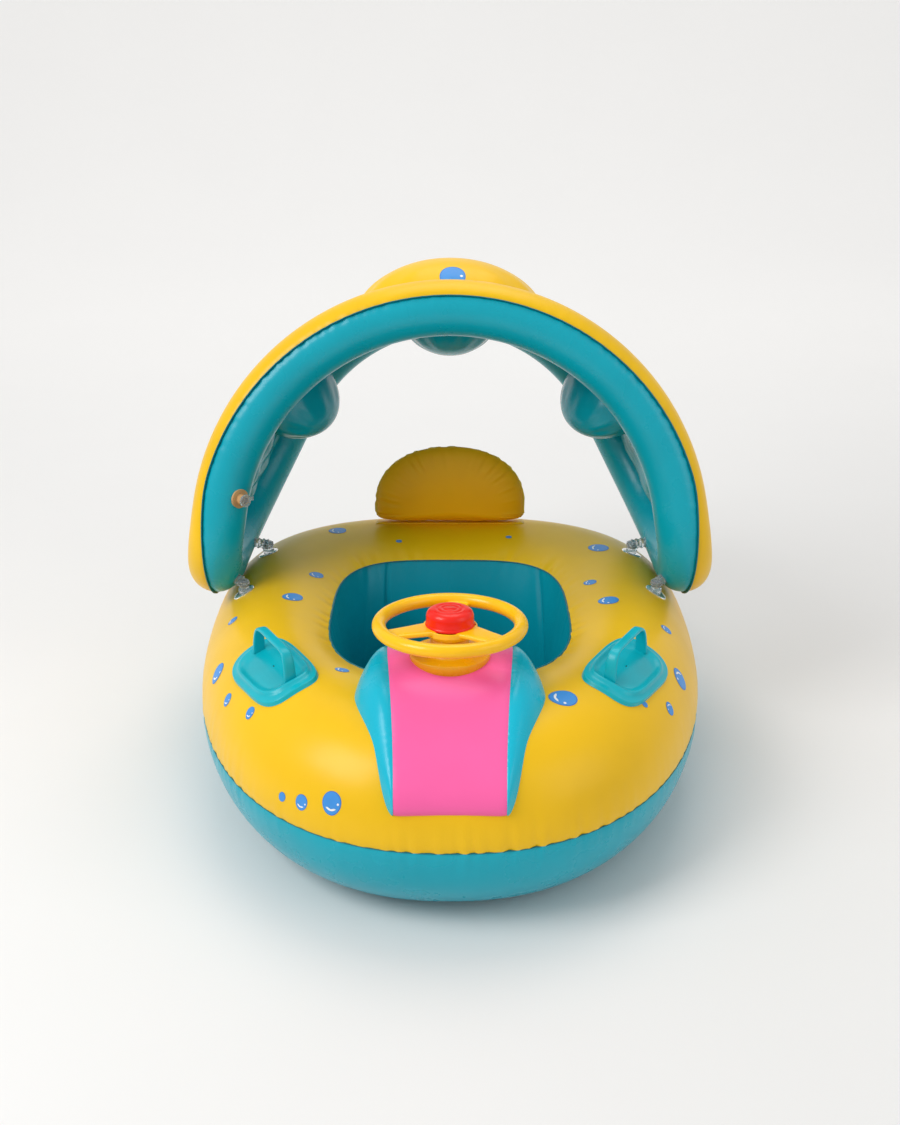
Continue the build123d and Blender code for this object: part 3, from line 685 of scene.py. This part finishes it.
# Backrest -------------------------------------------------------------------------------------------
def make_backrest():
    low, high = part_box("backrest_pillow")
    centre_x, half_width = 0.0, high.x
    foot, top = low.z, high.z
    y = (low.y + high.y) / 2
    half_thickness = (high.y - low.y) / 2 * 0.93
    height = top - foot
    steps = 260
    turns = np.arange(steps) / steps
    wave = ripple(turns, (23, 31, 43, 57), 21)
    angles = 2 * pi * turns
    # The outline is a wide half-round over a straight foot.
    up = np.sin(angles) >= 0
    middle = foot + height * 0.20
    power_up, power_low = 2.25, 7.0
    power = np.where(up, power_up, power_low)
    ox = half_width * np.sign(np.cos(angles)) * np.abs(np.cos(angles)) ** (2 / power)
    oz = np.where(up, top - middle, middle - foot) * np.sign(np.sin(angles)) * np.abs(
        np.sin(angles)) ** (2 / power)
    halves = []
    for face in (-1, 1):
        rows = []
        for r in np.sin(np.linspace(0, pi / 2, 34)):
            belly = (1 - r ** 2.3) ** 0.62
            pucker = 1 + 0.16 * wave * smooth_step(r, 0.62, 0.97)
            reach = r * (1 - 0.012 * smooth_step(r, 0.85, 1.0) * np.abs(wave))
            thick = half_thickness * belly * pucker + 0.0006
            rows.append(np.stack([centre_x + ox * reach, y + face * thick, middle + oz * reach], -1))
        rows[0][:] = rows[0].mean(0)
        halves.append(grid_object("half", np.array(rows), wrap_columns=True, flip=face > 0))
    flange = []
    for share in (0.985, 1.0, 1.012, 1.02):
        fringe = 1 + (share - 1) * (1 + 0.5 * wave) if share > 1 else share
        keep = smooth_step(middle + oz, foot + 0.002, foot + 0.012)
        grow = 1 + (fringe - 1) * keep
        flange.append(np.stack([ox * grow, y + 0.0011 * wave * smooth_step(share, 0.97, 1.03) + 0 * ox,
                                middle + oz * np.where(oz > 0, np.minimum(grow, 1.0), 1.0)], -1))
    rim = grid_object("rim", np.array(flange), wrap_columns=True)
    solid = rim.modifiers.new("thickness", "SOLIDIFY")
    solid.thickness = 0.0009
    bake_modifiers(rim)
    pillow = join("backrest_pillow_film", halves)
    finish_piece(pillow, "backrest", "orange_pvc", [orange_film], "backrest_pillow")
    finish_piece(rim, "backrest", "orange_pvc", [yellow_weld])


make_backrest()


# Flat pieces that lie on the ring ---------------------------------------------------------------------
def on_surface(tree, x, y, lift):
    """The point above (x, y) on a surface, raised along its normal."""
    hit, normal, *_ = tree.ray_cast(Vector((x, y, 0.7)), Vector((0, 0, -1)))
    if hit is None:
        hit, normal, *_ = tree.find_nearest(Vector((x, y, 0.15)))
    if normal.z < 0:
        normal = -normal
    return hit + normal * lift, normal


def make_tab():
    low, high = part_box("backrest_tab")
    rows = []
    middle = (low.y + high.y) / 2
    half_depth, half_width = (high.y - low.y) * 0.36, high.x - 0.003
    for v in np.linspace(middle - half_depth, middle + half_depth, 15):
        row = []
        for u in np.linspace(-half_width, half_width, 80):
            edge = min(half_width - abs(u), half_depth - abs(v - middle))
            lift = 0.0006 + 0.0008 * float(smooth_step(np.array(edge), 0.0, 0.002))
            lift += 0.0004 * np.exp(-((v - middle) / 0.003) ** 2) + 0.0002 * sin(u * 420) * sin(v * 500)
            row.append(on_surface(ring_tree, u, v, lift)[0])
        rows.append(row)
    tab = grid_object("backrest_tab_film", np.array(rows))
    solid = tab.modifiers.new("thickness", "SOLIDIFY")
    solid.thickness = 0.0006
    solid.offset = -1
    finish_piece(tab, "float", "yellow_pvc", [yellow_film], "backrest_tab")


make_tab()


# Handles --------------------------------------------------------------------------------------------
HANDLE_X, HANDLE_Y = 0.180, -0.158
HANDLE_TURN = radians(29.4)
HANDLE_HALF = (0.033, 0.061)


def handle_profile(r):
    """Height of the plate above the ring, from its middle (0) to its edge (1)."""
    rim = 0.0030 * np.exp(-((r - 0.76) / 0.055) ** 2)
    skirt = 0.0034 * (1 - smooth_step(r, 0.93, 1.0) ** 2)
    dished = -0.0018 * (1 - smooth_step(r, 0.58, 0.72))
    lip = 0.0004 * np.exp(-((r - 0.96) / 0.02) ** 2)
    return skirt + rim + dished + lip + 0.0003


def make_handle(side, name):
    turn = -side * HANDLE_TURN
    centre = np.array([side * HANDLE_X, HANDLE_Y])

    def place(u, v):
        return centre + np.array([u * cos(turn) - v * sin(turn), u * sin(turn) + v * cos(turn)])

    rows = []
    for r in np.sin(np.linspace(0.02, pi / 2, 46)):
        row = []
        for a in np.linspace(0, 2 * pi, 120, endpoint=False):
            u = HANDLE_HALF[0] * r * np.sign(cos(a)) * abs(cos(a)) ** (2 / 3.4)
            v = HANDLE_HALF[1] * r * np.sign(sin(a)) * abs(sin(a)) ** (2 / 3.4)
            x, y = place(u, v)
            row.append(on_surface(ring_tree, x, y, float(handle_profile(np.array(r))))[0])
        rows.append(row)
    plate = grid_object("handle_plate_" + name + "_moulding", np.array(rows), wrap_columns=True)
    finish_piece(plate, "float", "teal_handle", [handle_plastic], "handle_plate_" + name)

    low_end = on_surface(ring_tree, *place(0, -0.042), 0.0)[0].z
    far_end = on_surface(ring_tree, *place(0, 0.042), 0.0)[0].z
    rows = []
    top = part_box("handle_strap_" + name)[1].z
    for share in np.linspace(-1, 1, 60):
        v = 0.0415 * np.sign(share) * (1 - (1 - abs(share)) ** 1.25)
        foot = low_end if share < 0 else far_end
        level = foot + 0.002 + (top - 0.0023 - foot - 0.002) * (1 - abs(share) ** 7) ** 0.75
        rows.append((v, level))
    line = np.array(rows)
    way = np.gradient(line, axis=0)
    way /= np.linalg.norm(way, axis=1, keepdims=True)
    sections = []
    for (v, z), (dv, dz), share in zip(line, way, np.linspace(-1, 1, 60)):
        half_width = 0.0050 + 0.0016 * abs(share) ** 6
        section = []
        for b in np.linspace(0, 2 * pi, 24, endpoint=False):
            across = half_width * np.sign(cos(b)) * abs(cos(b)) ** 0.55
            thick = 0.0019 * np.sign(sin(b)) * abs(sin(b)) ** 0.6
            x, y = place(across, v - dz * thick)
            section.append((x, y, z + dv * thick))
        sections.append(section)
    strap = grid_object("handle_strap_" + name + "_moulding", np.array(sections), wrap_columns=True,
                        flip=True)
    finish_piece(strap, "float", "teal_handle", [handle_plastic], "handle_strap_" + name)


for side, name in ((-1, "right"), (1, "left")):
    make_handle(side, name)

# Canopy ---------------------------------------------------------------------------------------------
across_x = np.array([1.0, 0, 0])
arch_up = np.array([0, sin(canopy_lean), cos(canopy_lean)])
front_centre = np.array([0, *front_apex]) - arch_up * front_arch_radius
rear_centre = np.array([0, *rear_apex]) - arch_up * rear_arch_radius
loop_middle = (front_centre + rear_centre) / 2


def arch_point(centre, radius, angle):
    return centre + across_x * (radius * sin(angle)) + arch_up * (radius * cos(angle))


def arch_tangent(angle):
    return across_x * cos(angle) - arch_up * sin(angle)


def bezier(points, t):
    a, b, c, d = points
    return a * (1 - t) ** 3 + b * 3 * t * (1 - t) ** 2 + c * 3 * t * t * (1 - t) + d * t ** 3


leg_start = arch_point(front_centre, front_arch_radius, front_arch_angle)
leg_finish = arch_point(rear_centre, rear_arch_radius, rear_arch_angle)
backwards = np.array([0, 1.0, 0])
down_leg = (leg_start, leg_start + arch_tangent(front_arch_angle) * end_pulls[0],
            end_point - backwards * end_pulls[1], end_point)
rise_leg = (end_point, end_point + backwards * end_pulls[2],
            leg_finish + arch_tangent(rear_arch_angle) * end_pulls[3], leg_finish)


def front_line(s):
    """The front half of the tube's +X side: s is 0 at the apex, 1 at the arch's end, 2 at the bottom."""
    if s <= 1:
        return arch_point(front_centre, front_arch_radius, front_arch_angle * s)
    return bezier(down_leg, s - 1)


def rear_line(s):
    if s <= 1:
        return arch_point(rear_centre, rear_arch_radius, rear_arch_angle * s)
    return bezier(rise_leg, 2 - s)


def mirrored(points):
    return points * np.array([-1.0, 1, 1])


def tube_loop(count):
    """Evenly spaced points round the whole tube, starting at the front apex towards +X."""
    s = np.linspace(0, 2, 400)
    half = np.array([front_line(v) for v in s] + [rear_line(v) for v in s[::-1][1:]])
    loop = np.concatenate([half, mirrored(half[::-1])[1:]])
    walked = np.concatenate([[0], np.cumsum(np.linalg.norm(np.diff(loop, axis=0), axis=1))])
    at = np.arange(count) / count * walked[-1]
    return np.stack([np.interp(at, walked, loop[:, k]) for k in range(3)], -1)


TUBE_STEPS = 620
tube_line = tube_loop(TUBE_STEPS)
tube_way = np.roll(tube_line, -1, 0) - np.roll(tube_line, 1, 0)
for _ in range(3):
    tube_way = (np.roll(tube_way, 1, 0) + tube_way + np.roll(tube_way, -1, 0)) / 3
tube_way /= np.linalg.norm(tube_way, axis=1, keepdims=True)
outward = (tube_line - loop_middle) * np.array([1.0, 0, 1])
outward -= tube_way * (outward * tube_way).sum(1, keepdims=True)
outward /= np.linalg.norm(outward, axis=1, keepdims=True)
facing = np.cross(tube_way, outward)          # away from the canopy's middle, front or back
tube_turns = np.arange(TUBE_STEPS) / TUBE_STEPS
tube_ripple = ripple(tube_turns, (131, 167, 203, 89), 31)
inner_ripple = ripple(tube_turns, (61, 83, 113), 33)
end_share = smooth_step(0.33 - tube_line[:, 2], 0.0, 0.13)      # 1 at the bottom of each end
seam_angle = np.radians(54 + 26 * end_share)
web_angle = np.radians(-90.0)


def tube_point(i, angle, radius):
    """Points on the tube's skin: i indexes stations and angle is from outward towards facing."""
    way = outward[i] * np.cos(angle)[:, None] + facing[i] * np.sin(angle)[:, None]
    return tube_line[i] + way * radius


def make_tube():
    # Columns are spaced so that one lies on each seam: yellow from the web to the outer seam.
    yellow_steps, teal_steps = 26, 34
    columns = []
    for k in range(yellow_steps + teal_steps):
        if k <= yellow_steps:
            share = k / yellow_steps
            columns.append(web_angle + (seam_angle - web_angle) * share)
        else:
            share = (k - yellow_steps) / teal_steps
            columns.append(seam_angle + (web_angle + 2 * pi - seam_angle) * share)
    index = np.arange(TUBE_STEPS)
    points = np.zeros((TUBE_STEPS, len(columns), 3))
    for k, angle in enumerate(columns):
        to_seam = np.abs(angle - seam_angle) * tube_radius
        to_web = np.minimum(np.abs(angle - web_angle), np.abs(angle - web_angle - 2 * pi)) * tube_radius
        pull = 0.0012 * np.exp(-to_seam / 0.003) + 0.0007 * tube_ripple * np.exp(-to_seam / 0.008)
        pull += 0.0008 * np.exp(-to_web / 0.003) + 0.0009 * inner_ripple * np.exp(-to_web / 0.011)
        points[:, k] = tube_point(index, angle, (tube_radius - pull)[:, None])
    tube = grid_object("canopy_tube_film", points, True, True,
                       index_of=lambda i, j: 0 if j < yellow_steps else 1)
    finish_piece(tube, "canopy", "yellow_pvc", [yellow_film, teal_film], "canopy_tube_front",
                 "canopy_tube_rear", "canopy_tube_end_left", "canopy_tube_end_right")
    # The weld stands out of the outer seam as a thin puckered fin.
    rows = []
    for out_by, spread in ((0.0295, 0.0), (0.0312, 0.0), (0.0322, 0.4), (0.0330, 1.0)):
        angle = seam_angle + 0.012 * spread * tube_ripple
        reach = np.full((TUBE_STEPS, 1), out_by) + 0.0003 * spread * tube_ripple[:, None]
        rows.append(tube_point(index, angle, reach))
    fin = grid_object("canopy_seam_fin", np.array(rows), wrap_columns=True)
    solid = fin.modifiers.new("thickness", "SOLIDIFY")
    solid.thickness = 0.0009
    solid.offset = 0
    finish_piece(fin, "canopy", "weld_pvc", [weld_film])
    return tube


def web_frame(s):
    """Where the web meets both tubes at a place along the arches, and the way out of the canopy."""
    side = -1.0 if s < 0 else 1.0
    s = abs(s)
    step = 1e-3
    a, b = front_line(s), rear_line(s)
    front_way = front_line(min(s + step, 2)) - front_line(max(s - step, 0))
    rear_way = rear_line(min(s + step, 2)) - rear_line(max(s - step, 0))
    front_way, rear_way = front_way / np.linalg.norm(front_way), rear_way / np.linalg.norm(rear_way)
    depth = (b - a) / np.linalg.norm(b - a)

    def out_of(point, way):
        v = (point - loop_middle) * np.array([1.0, 0, 1])
        v = v - way * v.dot(way)
        return v / np.linalg.norm(v)

    out = out_of(a, front_way) + out_of(b, rear_way)
    out = out - depth * out.dot(depth)
    out /= np.linalg.norm(out)
    reach = tube_radius - 0.0012
    a = a + depth * reach / np.linalg.norm(np.cross(front_way, depth))
    b = b - depth * reach / np.linalg.norm(np.cross(rear_way, depth))
    if side < 0:
        a, b, out = mirrored(a), mirrored(b), mirrored(out)
    return a, b, out


def web_end():
    """How far down the legs the web goes before the tubes meet."""
    for s in np.arange(1.0, 1.95, 0.01):
        a, b, _ = web_frame(s)
        if (b - a)[1] < 0.006:
            return s - 0.01
    return 1.9


WEB_END = web_end()
LOBES_OUT = ((0.0, 0.112, 0.072, 0.0565), (0.72, 0.046, 0.069, 0.039), (-0.72, 0.046, 0.069, 0.039))
LOBES_IN = ((0.0, 0.062, 0.072, 0.055), (0.72, 0.046, 0.069, 0.063), (-0.72, 0.046, 0.069, 0.063))
ARCH_LENGTH = (front_arch_radius * front_arch_angle + rear_arch_radius * rear_arch_angle) / 2


def make_web(name, side, lobes, material, slot, *nodes):
    """One sheet of the canopy between its tubes. side is 1 for the outer sheet and -1 for the inner."""
    count_s, count_d = 420, 110
    stations = np.linspace(-WEB_END, WEB_END, count_s)
    shares = np.linspace(0, 1, count_d)
    edge_wave = ripple(np.linspace(0, 1, count_s), (47, 61, 83), 41 if side > 0 else 43)
    points = np.zeros((count_s, count_d, 3))
    for i, s in enumerate(stations):
        a, b, out = web_frame(s)
        span = np.linalg.norm(b - a)
        across = (shares - 0.5) * span
        from_edge = np.minimum(shares, 1 - shares) * span
        rise = np.full(count_d, 0.0006)
        bulge = np.zeros(count_d)
        for place, half_span, half_depth, height in lobes:
            along = (s - place) * ARCH_LENGTH
            r = np.sqrt((along / half_span) ** 2 + (across / half_depth) ** 2)
            turn = np.arctan2(across / half_depth, along / half_span)
            folds = 1 + 0.035 * np.cos(13 * turn + 1.0) * smooth_step(r, 0.5, 0.95)
            bulge = np.maximum(bulge, height * np.clip(1 - r ** 2.1, 0, 1) ** 0.50 * folds)
            rise += 0.0005 * np.exp(-((r - 1.06) / 0.03) ** 2) * (bulge < 1e-5)
        diagonal = np.sin((s * 2.3 + across * 16) * 9) + np.sin((s * 3.1 - across * 12) * 7 + 1)
        quiet = (bulge < 1e-5) * np.clip(from_edge / 0.02, 0, 1)
        rise += 0.0011 * diagonal * quiet * (0.4 + 0.6 * min(1.0, abs(s)))
        rise += 0.0009 * edge_wave[i] * np.exp(-from_edge / 0.012)
        sag = -0.0025 * np.sin(pi * shares) * (bulge < 1e-5)
        height_out = side * (rise + bulge) + sag * (side < 0) + 0.0012 * side
        points[i] = a + (b - a) * shares[:, None] + out * height_out[:, None]
    web = grid_object(name, points, flip=side < 0)
    finish_piece(web, "canopy", slot, [material], *nodes)
    return web


make_tube()
outer_web = make_web("canopy_outer_web", 1, LOBES_OUT, yellow_film, "yellow_pvc", "canopy_outer_sheet",
                     "canopy_lobe_outer_middle", "canopy_lobe_outer_left", "canopy_lobe_outer_right")
make_web("canopy_inner_web", -1, LOBES_IN, web_film, "teal_pvc", "canopy_inner_sheet",
         "canopy_lobe_inner_middle", "canopy_lobe_inner_left", "canopy_lobe_inner_right")


# Connectors ------------------------------------------------------------------------------------------
def along_axis(foot, way):
    """A placer that maps local +Z to a direction from a foot."""
    way = np.asarray(way, float) / np.linalg.norm(way)
    side = np.cross(way, (0, 1.0, 0)) if abs(way[1]) < 0.9 else np.cross(way, (1.0, 0, 0))
    side /= np.linalg.norm(side)
    other = np.cross(way, side)
    return lambda p: foot + p[..., :1] * side + p[..., 1:2] * other + p[..., 2:3] * way


def ribbed(name, place, length, radius, ribs):
    """A turned stub with rounded ribs along it."""
    heights = np.linspace(0, length, 60)
    profile = [(0.0001, 0.0)]
    for z in heights:
        wave = 0.5 + 0.5 * cos(2 * pi * ribs * z / length)
        profile.append((radius * (0.80 + 0.20 * wave), float(z)))
    profile.append((0.0001, float(length)))
    return lathe(name, profile, place, 40)


for place_name in ("front", "rear"):
    for side, name in ((-1, "right"), (1, "left")):
        node = "connector_socket_%s_%s" % (place_name, name)
        low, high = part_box(node)
        x, y = (low.x + high.x) / 2, (low.y + high.y) / 2
        seat, normal = on_surface(ring_tree, x, y, 0.0)
        post = ribbed("post", along_axis(np.array([x, y, seat.z - 0.004]), (0, 0, 1.0)),
                      high.z - seat.z + 0.004, 0.0070, 2)
        disc = []
        for r, lift in ((0.0001, 0.0012), (0.008, 0.0013), (0.0112, 0.0013), (0.0118, 0.0008),
                        (0.0119, 0.0)):
            disc.append([on_surface(ring_tree, x + r * cos(a), y + r * sin(a), lift)[0]
                         for a in np.linspace(0, 2 * pi, 48, endpoint=False)])
        flange = grid_object("flange", np.array(disc), wrap_columns=True)
        socket = join("connector_socket_%s_%s_moulding" % (place_name, name), [post, flange])
        finish_piece(socket, "float", "clear_pvc", [clear_pvc], node)

        foot = np.array([x, y, high.z + 0.0003])
        nearest = tube_line[np.argmin(np.linalg.norm(tube_line - foot, axis=1))]
        way = nearest - foot
        reach = np.linalg.norm(way) - tube_radius + 0.0012
        arm = ribbed("arm", along_axis(foot, way), reach, 0.0066, 3)
        collar = lathe("collar", mm((0.1, 0.0), (5.5, 0.0), (6.5, 0.6), (6.5, 2.6), (5.5, 3.2), (0.1, 3.2)),
                       along_axis(foot, (0, 0, 1.0)), 40)
        plug = join("connector_plug_%s_%s_moulding" % (place_name, name), [arm, collar])
        finish_piece(plug, "canopy", "clear_pvc", [clear_pvc], "connector_plug_%s_%s" % (place_name, name))


# Droplet prints -----------------------------------------------------------------------------------------
# Each is (x, y, width) in centimetres on the ring, and a turn in degrees.
DROPLETS = ((-14.5, 22.5, 2.3, 10), (-6.5, 20, 0.8, 0), (7.5, 21, 0.8, 0), (18.5, 16.5, 2.6, -15),
            (-16, 9, 1.8, 25), (-18, 1.5, 2.4, 15), (-24.5, -1.5, 1.4, 0), (16.5, 6.5, 1.6, -20),
            (18, 0.5, 2.4, -10), (24, -4, 1.5, 0), (-25, -10, 2.5, 60), (-11, -16.5, 1.5, 0),
            (-19.5, -18.5, 0.9, 0), (-23, -16, 1.5, 60), (-20, -20.5, 1.4, 60), (11, -23, 2.9, 5),
            (24.5, -11.5, 2.6, -60), (19.5, -20, 0.8, 0), (22.5, -17.5, 1.5, -60), (-14, -30.5, 1.6, 70),
            (-16, -29, 1.0, 60), (-11, -32, 2.3, 80))


def decal_frame(tree, x, y, turn):
    centre, normal = on_surface(tree, x, y, 0.0)
    u = Vector((1, 0, 0)) - normal * normal.x
    u.normalize()
    v = normal.cross(u)
    return centre, normal, u * cos(turn) + v * sin(turn), v * cos(turn) - u * sin(turn)


def decal(tree, placed, outline, lift):
    """A thin patch of an outline laid on a surface, with rings of points so that it bends with it."""
    centre, normal, u, v = placed
    middle = np.mean(outline, axis=0)
    verts = []
    for share in (0.0, 0.35, 0.7, 1.0):
        for p in outline:
            q = middle + (p - middle) * share
            start = centre + u * float(q[0]) + v * float(q[1]) + normal * 0.02
            hit, _, *_ = tree.ray_cast(start, -normal)
            base = hit if hit is not None else start - normal * 0.02
            verts.append(base + normal * lift)
    return verts, grid_faces(4, len(outline), wrap_columns=True)


def droplet_shapes(width):
    """Outlines of a droplet: the rim, the body, and two glints."""
    a = np.linspace(0, 2 * pi, 36, endpoint=False)
    body = np.stack([np.cos(a) * 0.5, np.sin(a) * (0.44 + 0.03 * np.cos(a))], -1) * width
    glint = []
    for t in np.linspace(-0.9, 0.9, 10):
        glint.append((-0.33 * cos(t), 0.33 * sin(t)))
    for t in np.linspace(0.9, -0.9, 10)[1:-1]:
        glint.append((-0.24 * cos(t) - 0.01, 0.24 * sin(t)))
    glint = np.array(glint) * width * 0.95
    spot = np.stack([np.cos(a) * 0.05 + 0.02, np.sin(a) * 0.05 - 0.30], -1) * width
    return body, body * 0.93, glint, spot


def make_droplets(name, tree, places, body, flat=1.0):
    verts, faces, index = [], [], []
    for x, y, width, turn in places:
        placed = decal_frame(tree, x / 100, y / 100, radians(turn))
        shapes = droplet_shapes(width / 100)
        layers = [(shapes[0], 0.00022, 1), (shapes[1], 0.00034, 0)]
        if width > 1.2:
            layers += [(shapes[2], 0.00048, 2), (shapes[3], 0.00048, 2)]
        for outline, lift, material in layers:
            points, quads = decal(tree, placed, outline * np.array([1.0, flat]), lift)
            faces += [tuple(k + len(verts) for k in quad) for quad in quads]
            index += [material] * len(quads)
            verts += points
    obj = make_object(name, np.array(verts), faces, index)
    return finish_piece(obj, body, None, [print_blue, print_dark, print_white])


make_droplets("ring_droplet_prints", ring_tree, DROPLETS, "float")
make_droplets("canopy_droplet_prints", tree_of(outer_web), ((0.3, 15.8, 3.4, 90), (-9.5, 23, 2.4, 30),
                                                           (8.5, 24, 2.2, -20)), "canopy")

# Materials for the CAD nodes that show as they are
for node, material in (("canopy_valve_stem", tan_pvc), ("canopy_valve_stopper", clear_pvc),
                       ("ring_valve_stem", clear_pvc), ("ring_valve_stopper", tan_pvc),
                       ("backrest_valve_stem", clear_pvc), ("backrest_valve_stopper", tan_pvc),
                       ("wheel_washer", steel), ("wheel_screw", steel), ("squeaker_reed", reed_plastic),
                       ("horn_bellows", horn_plastic)):
    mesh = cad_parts[node].data
    mesh.materials.clear()
    mesh.materials.append(material)


# Studio ---------------------------------------------------------------------------------------------
def make_studio():
    floor, nodes, links = new_material("studio_floor")
    shader = nodes["Principled BSDF"]
    place = nodes.new("ShaderNodeTexCoord")
    grain = noise_node(nodes, links, place, 3.0)
    tint = ramp(nodes, links, grain.outputs["Fac"],
                [(0.3, (0.80, 0.795, 0.785)), (0.7, (0.81, 0.805, 0.795))])
    links.new(tint.outputs["Color"], shader.inputs["Base Color"])
    set_inputs(shader, {"Roughness": 0.9, "Specular IOR Level": 0.1,
                        "Emission Color": (1.0, 0.99, 0.975, 1)})
    axes = nodes.new("ShaderNodeSeparateXYZ")
    links.new(place.outputs["Object"], axes.inputs["Vector"])
    distance = nodes.new("ShaderNodeMapRange")
    distance.interpolation_type = "SMOOTHSTEP"
    set_inputs(distance, {"From Min": 0.2, "From Max": 2.6, "To Min": 0.0, "To Max": 0.25})
    links.new(axes.outputs["Y"], distance.inputs["Value"])
    links.new(distance.outputs["Result"], shader.inputs["Emission Strength"])
    rows = []
    for y, z in [(-4.0, 0.0), (-1.0, 0.0), (1.6, 0.0)] + [
            (2.2 + 1.8 * sin(a), 1.8 - 1.8 * cos(a)) for a in np.linspace(0, pi / 2, 24)] + [(4.0, 6.0)]:
        rows.append([(x, y, z) for x in np.linspace(-6, 6, 5)])
    backdrop = grid_object("studio_backdrop", np.array(rows), flip=True)
    backdrop.data.materials.append(floor)

    world = bpy.data.worlds.new("studio")
    bpy.context.scene.world = world
    world.use_nodes = True
    background = world.node_tree.nodes["Background"]
    set_inputs(background, {"Color": (1.0, 1.0, 1.0, 1), "Strength": 0.58})

    for name, place, aim, size, power in (
            ("key", (-1.7, -1.1, 1.9), (0, 0, 0.25), 1.3, 36.0),
            ("fill", (1.9, -1.2, 1.2), (0, 0, 0.25), 1.4, 7.0),
            ("top", (0.1, 0.7, 2.4), (0, 0, 0.2), 1.4, 13.0)):
        data = bpy.data.lights.new(name, "AREA")
        data.shape = "SQUARE"
        data.size = size
        data.energy = power
        lamp = bpy.data.objects.new(name, data)
        lamp.location = place
        lamp.rotation_euler = (Vector(aim) - Vector(place)).to_track_quat("-Z", "Y").to_euler()
        bpy.context.scene.collection.objects.link(lamp)


def make_camera():
    data = bpy.data.cameras.new("camera")
    camera = bpy.data.objects.new("camera", data)
    bpy.context.scene.collection.objects.link(camera)
    pitch, distance, look_height = radians(22.17), 1.5, 0.247344
    focal_length, picture_height = 1340.156, 1125
    look = Vector((0, 0, look_height))
    ahead = Vector((0, cos(pitch), -sin(pitch)))
    camera.location = look - ahead * distance
    camera.rotation_euler = (pi / 2 - pitch, 0, 0)
    data.sensor_fit = "VERTICAL"
    data.sensor_height = 36
    data.sensor_width = 36
    data.lens = focal_length / picture_height * data.sensor_height
    bpy.context.scene.camera = camera


make_studio()
make_camera()
view = bpy.context.scene.view_settings
view.view_transform = "Standard"
view.look = "None"
view.exposure = 0.0
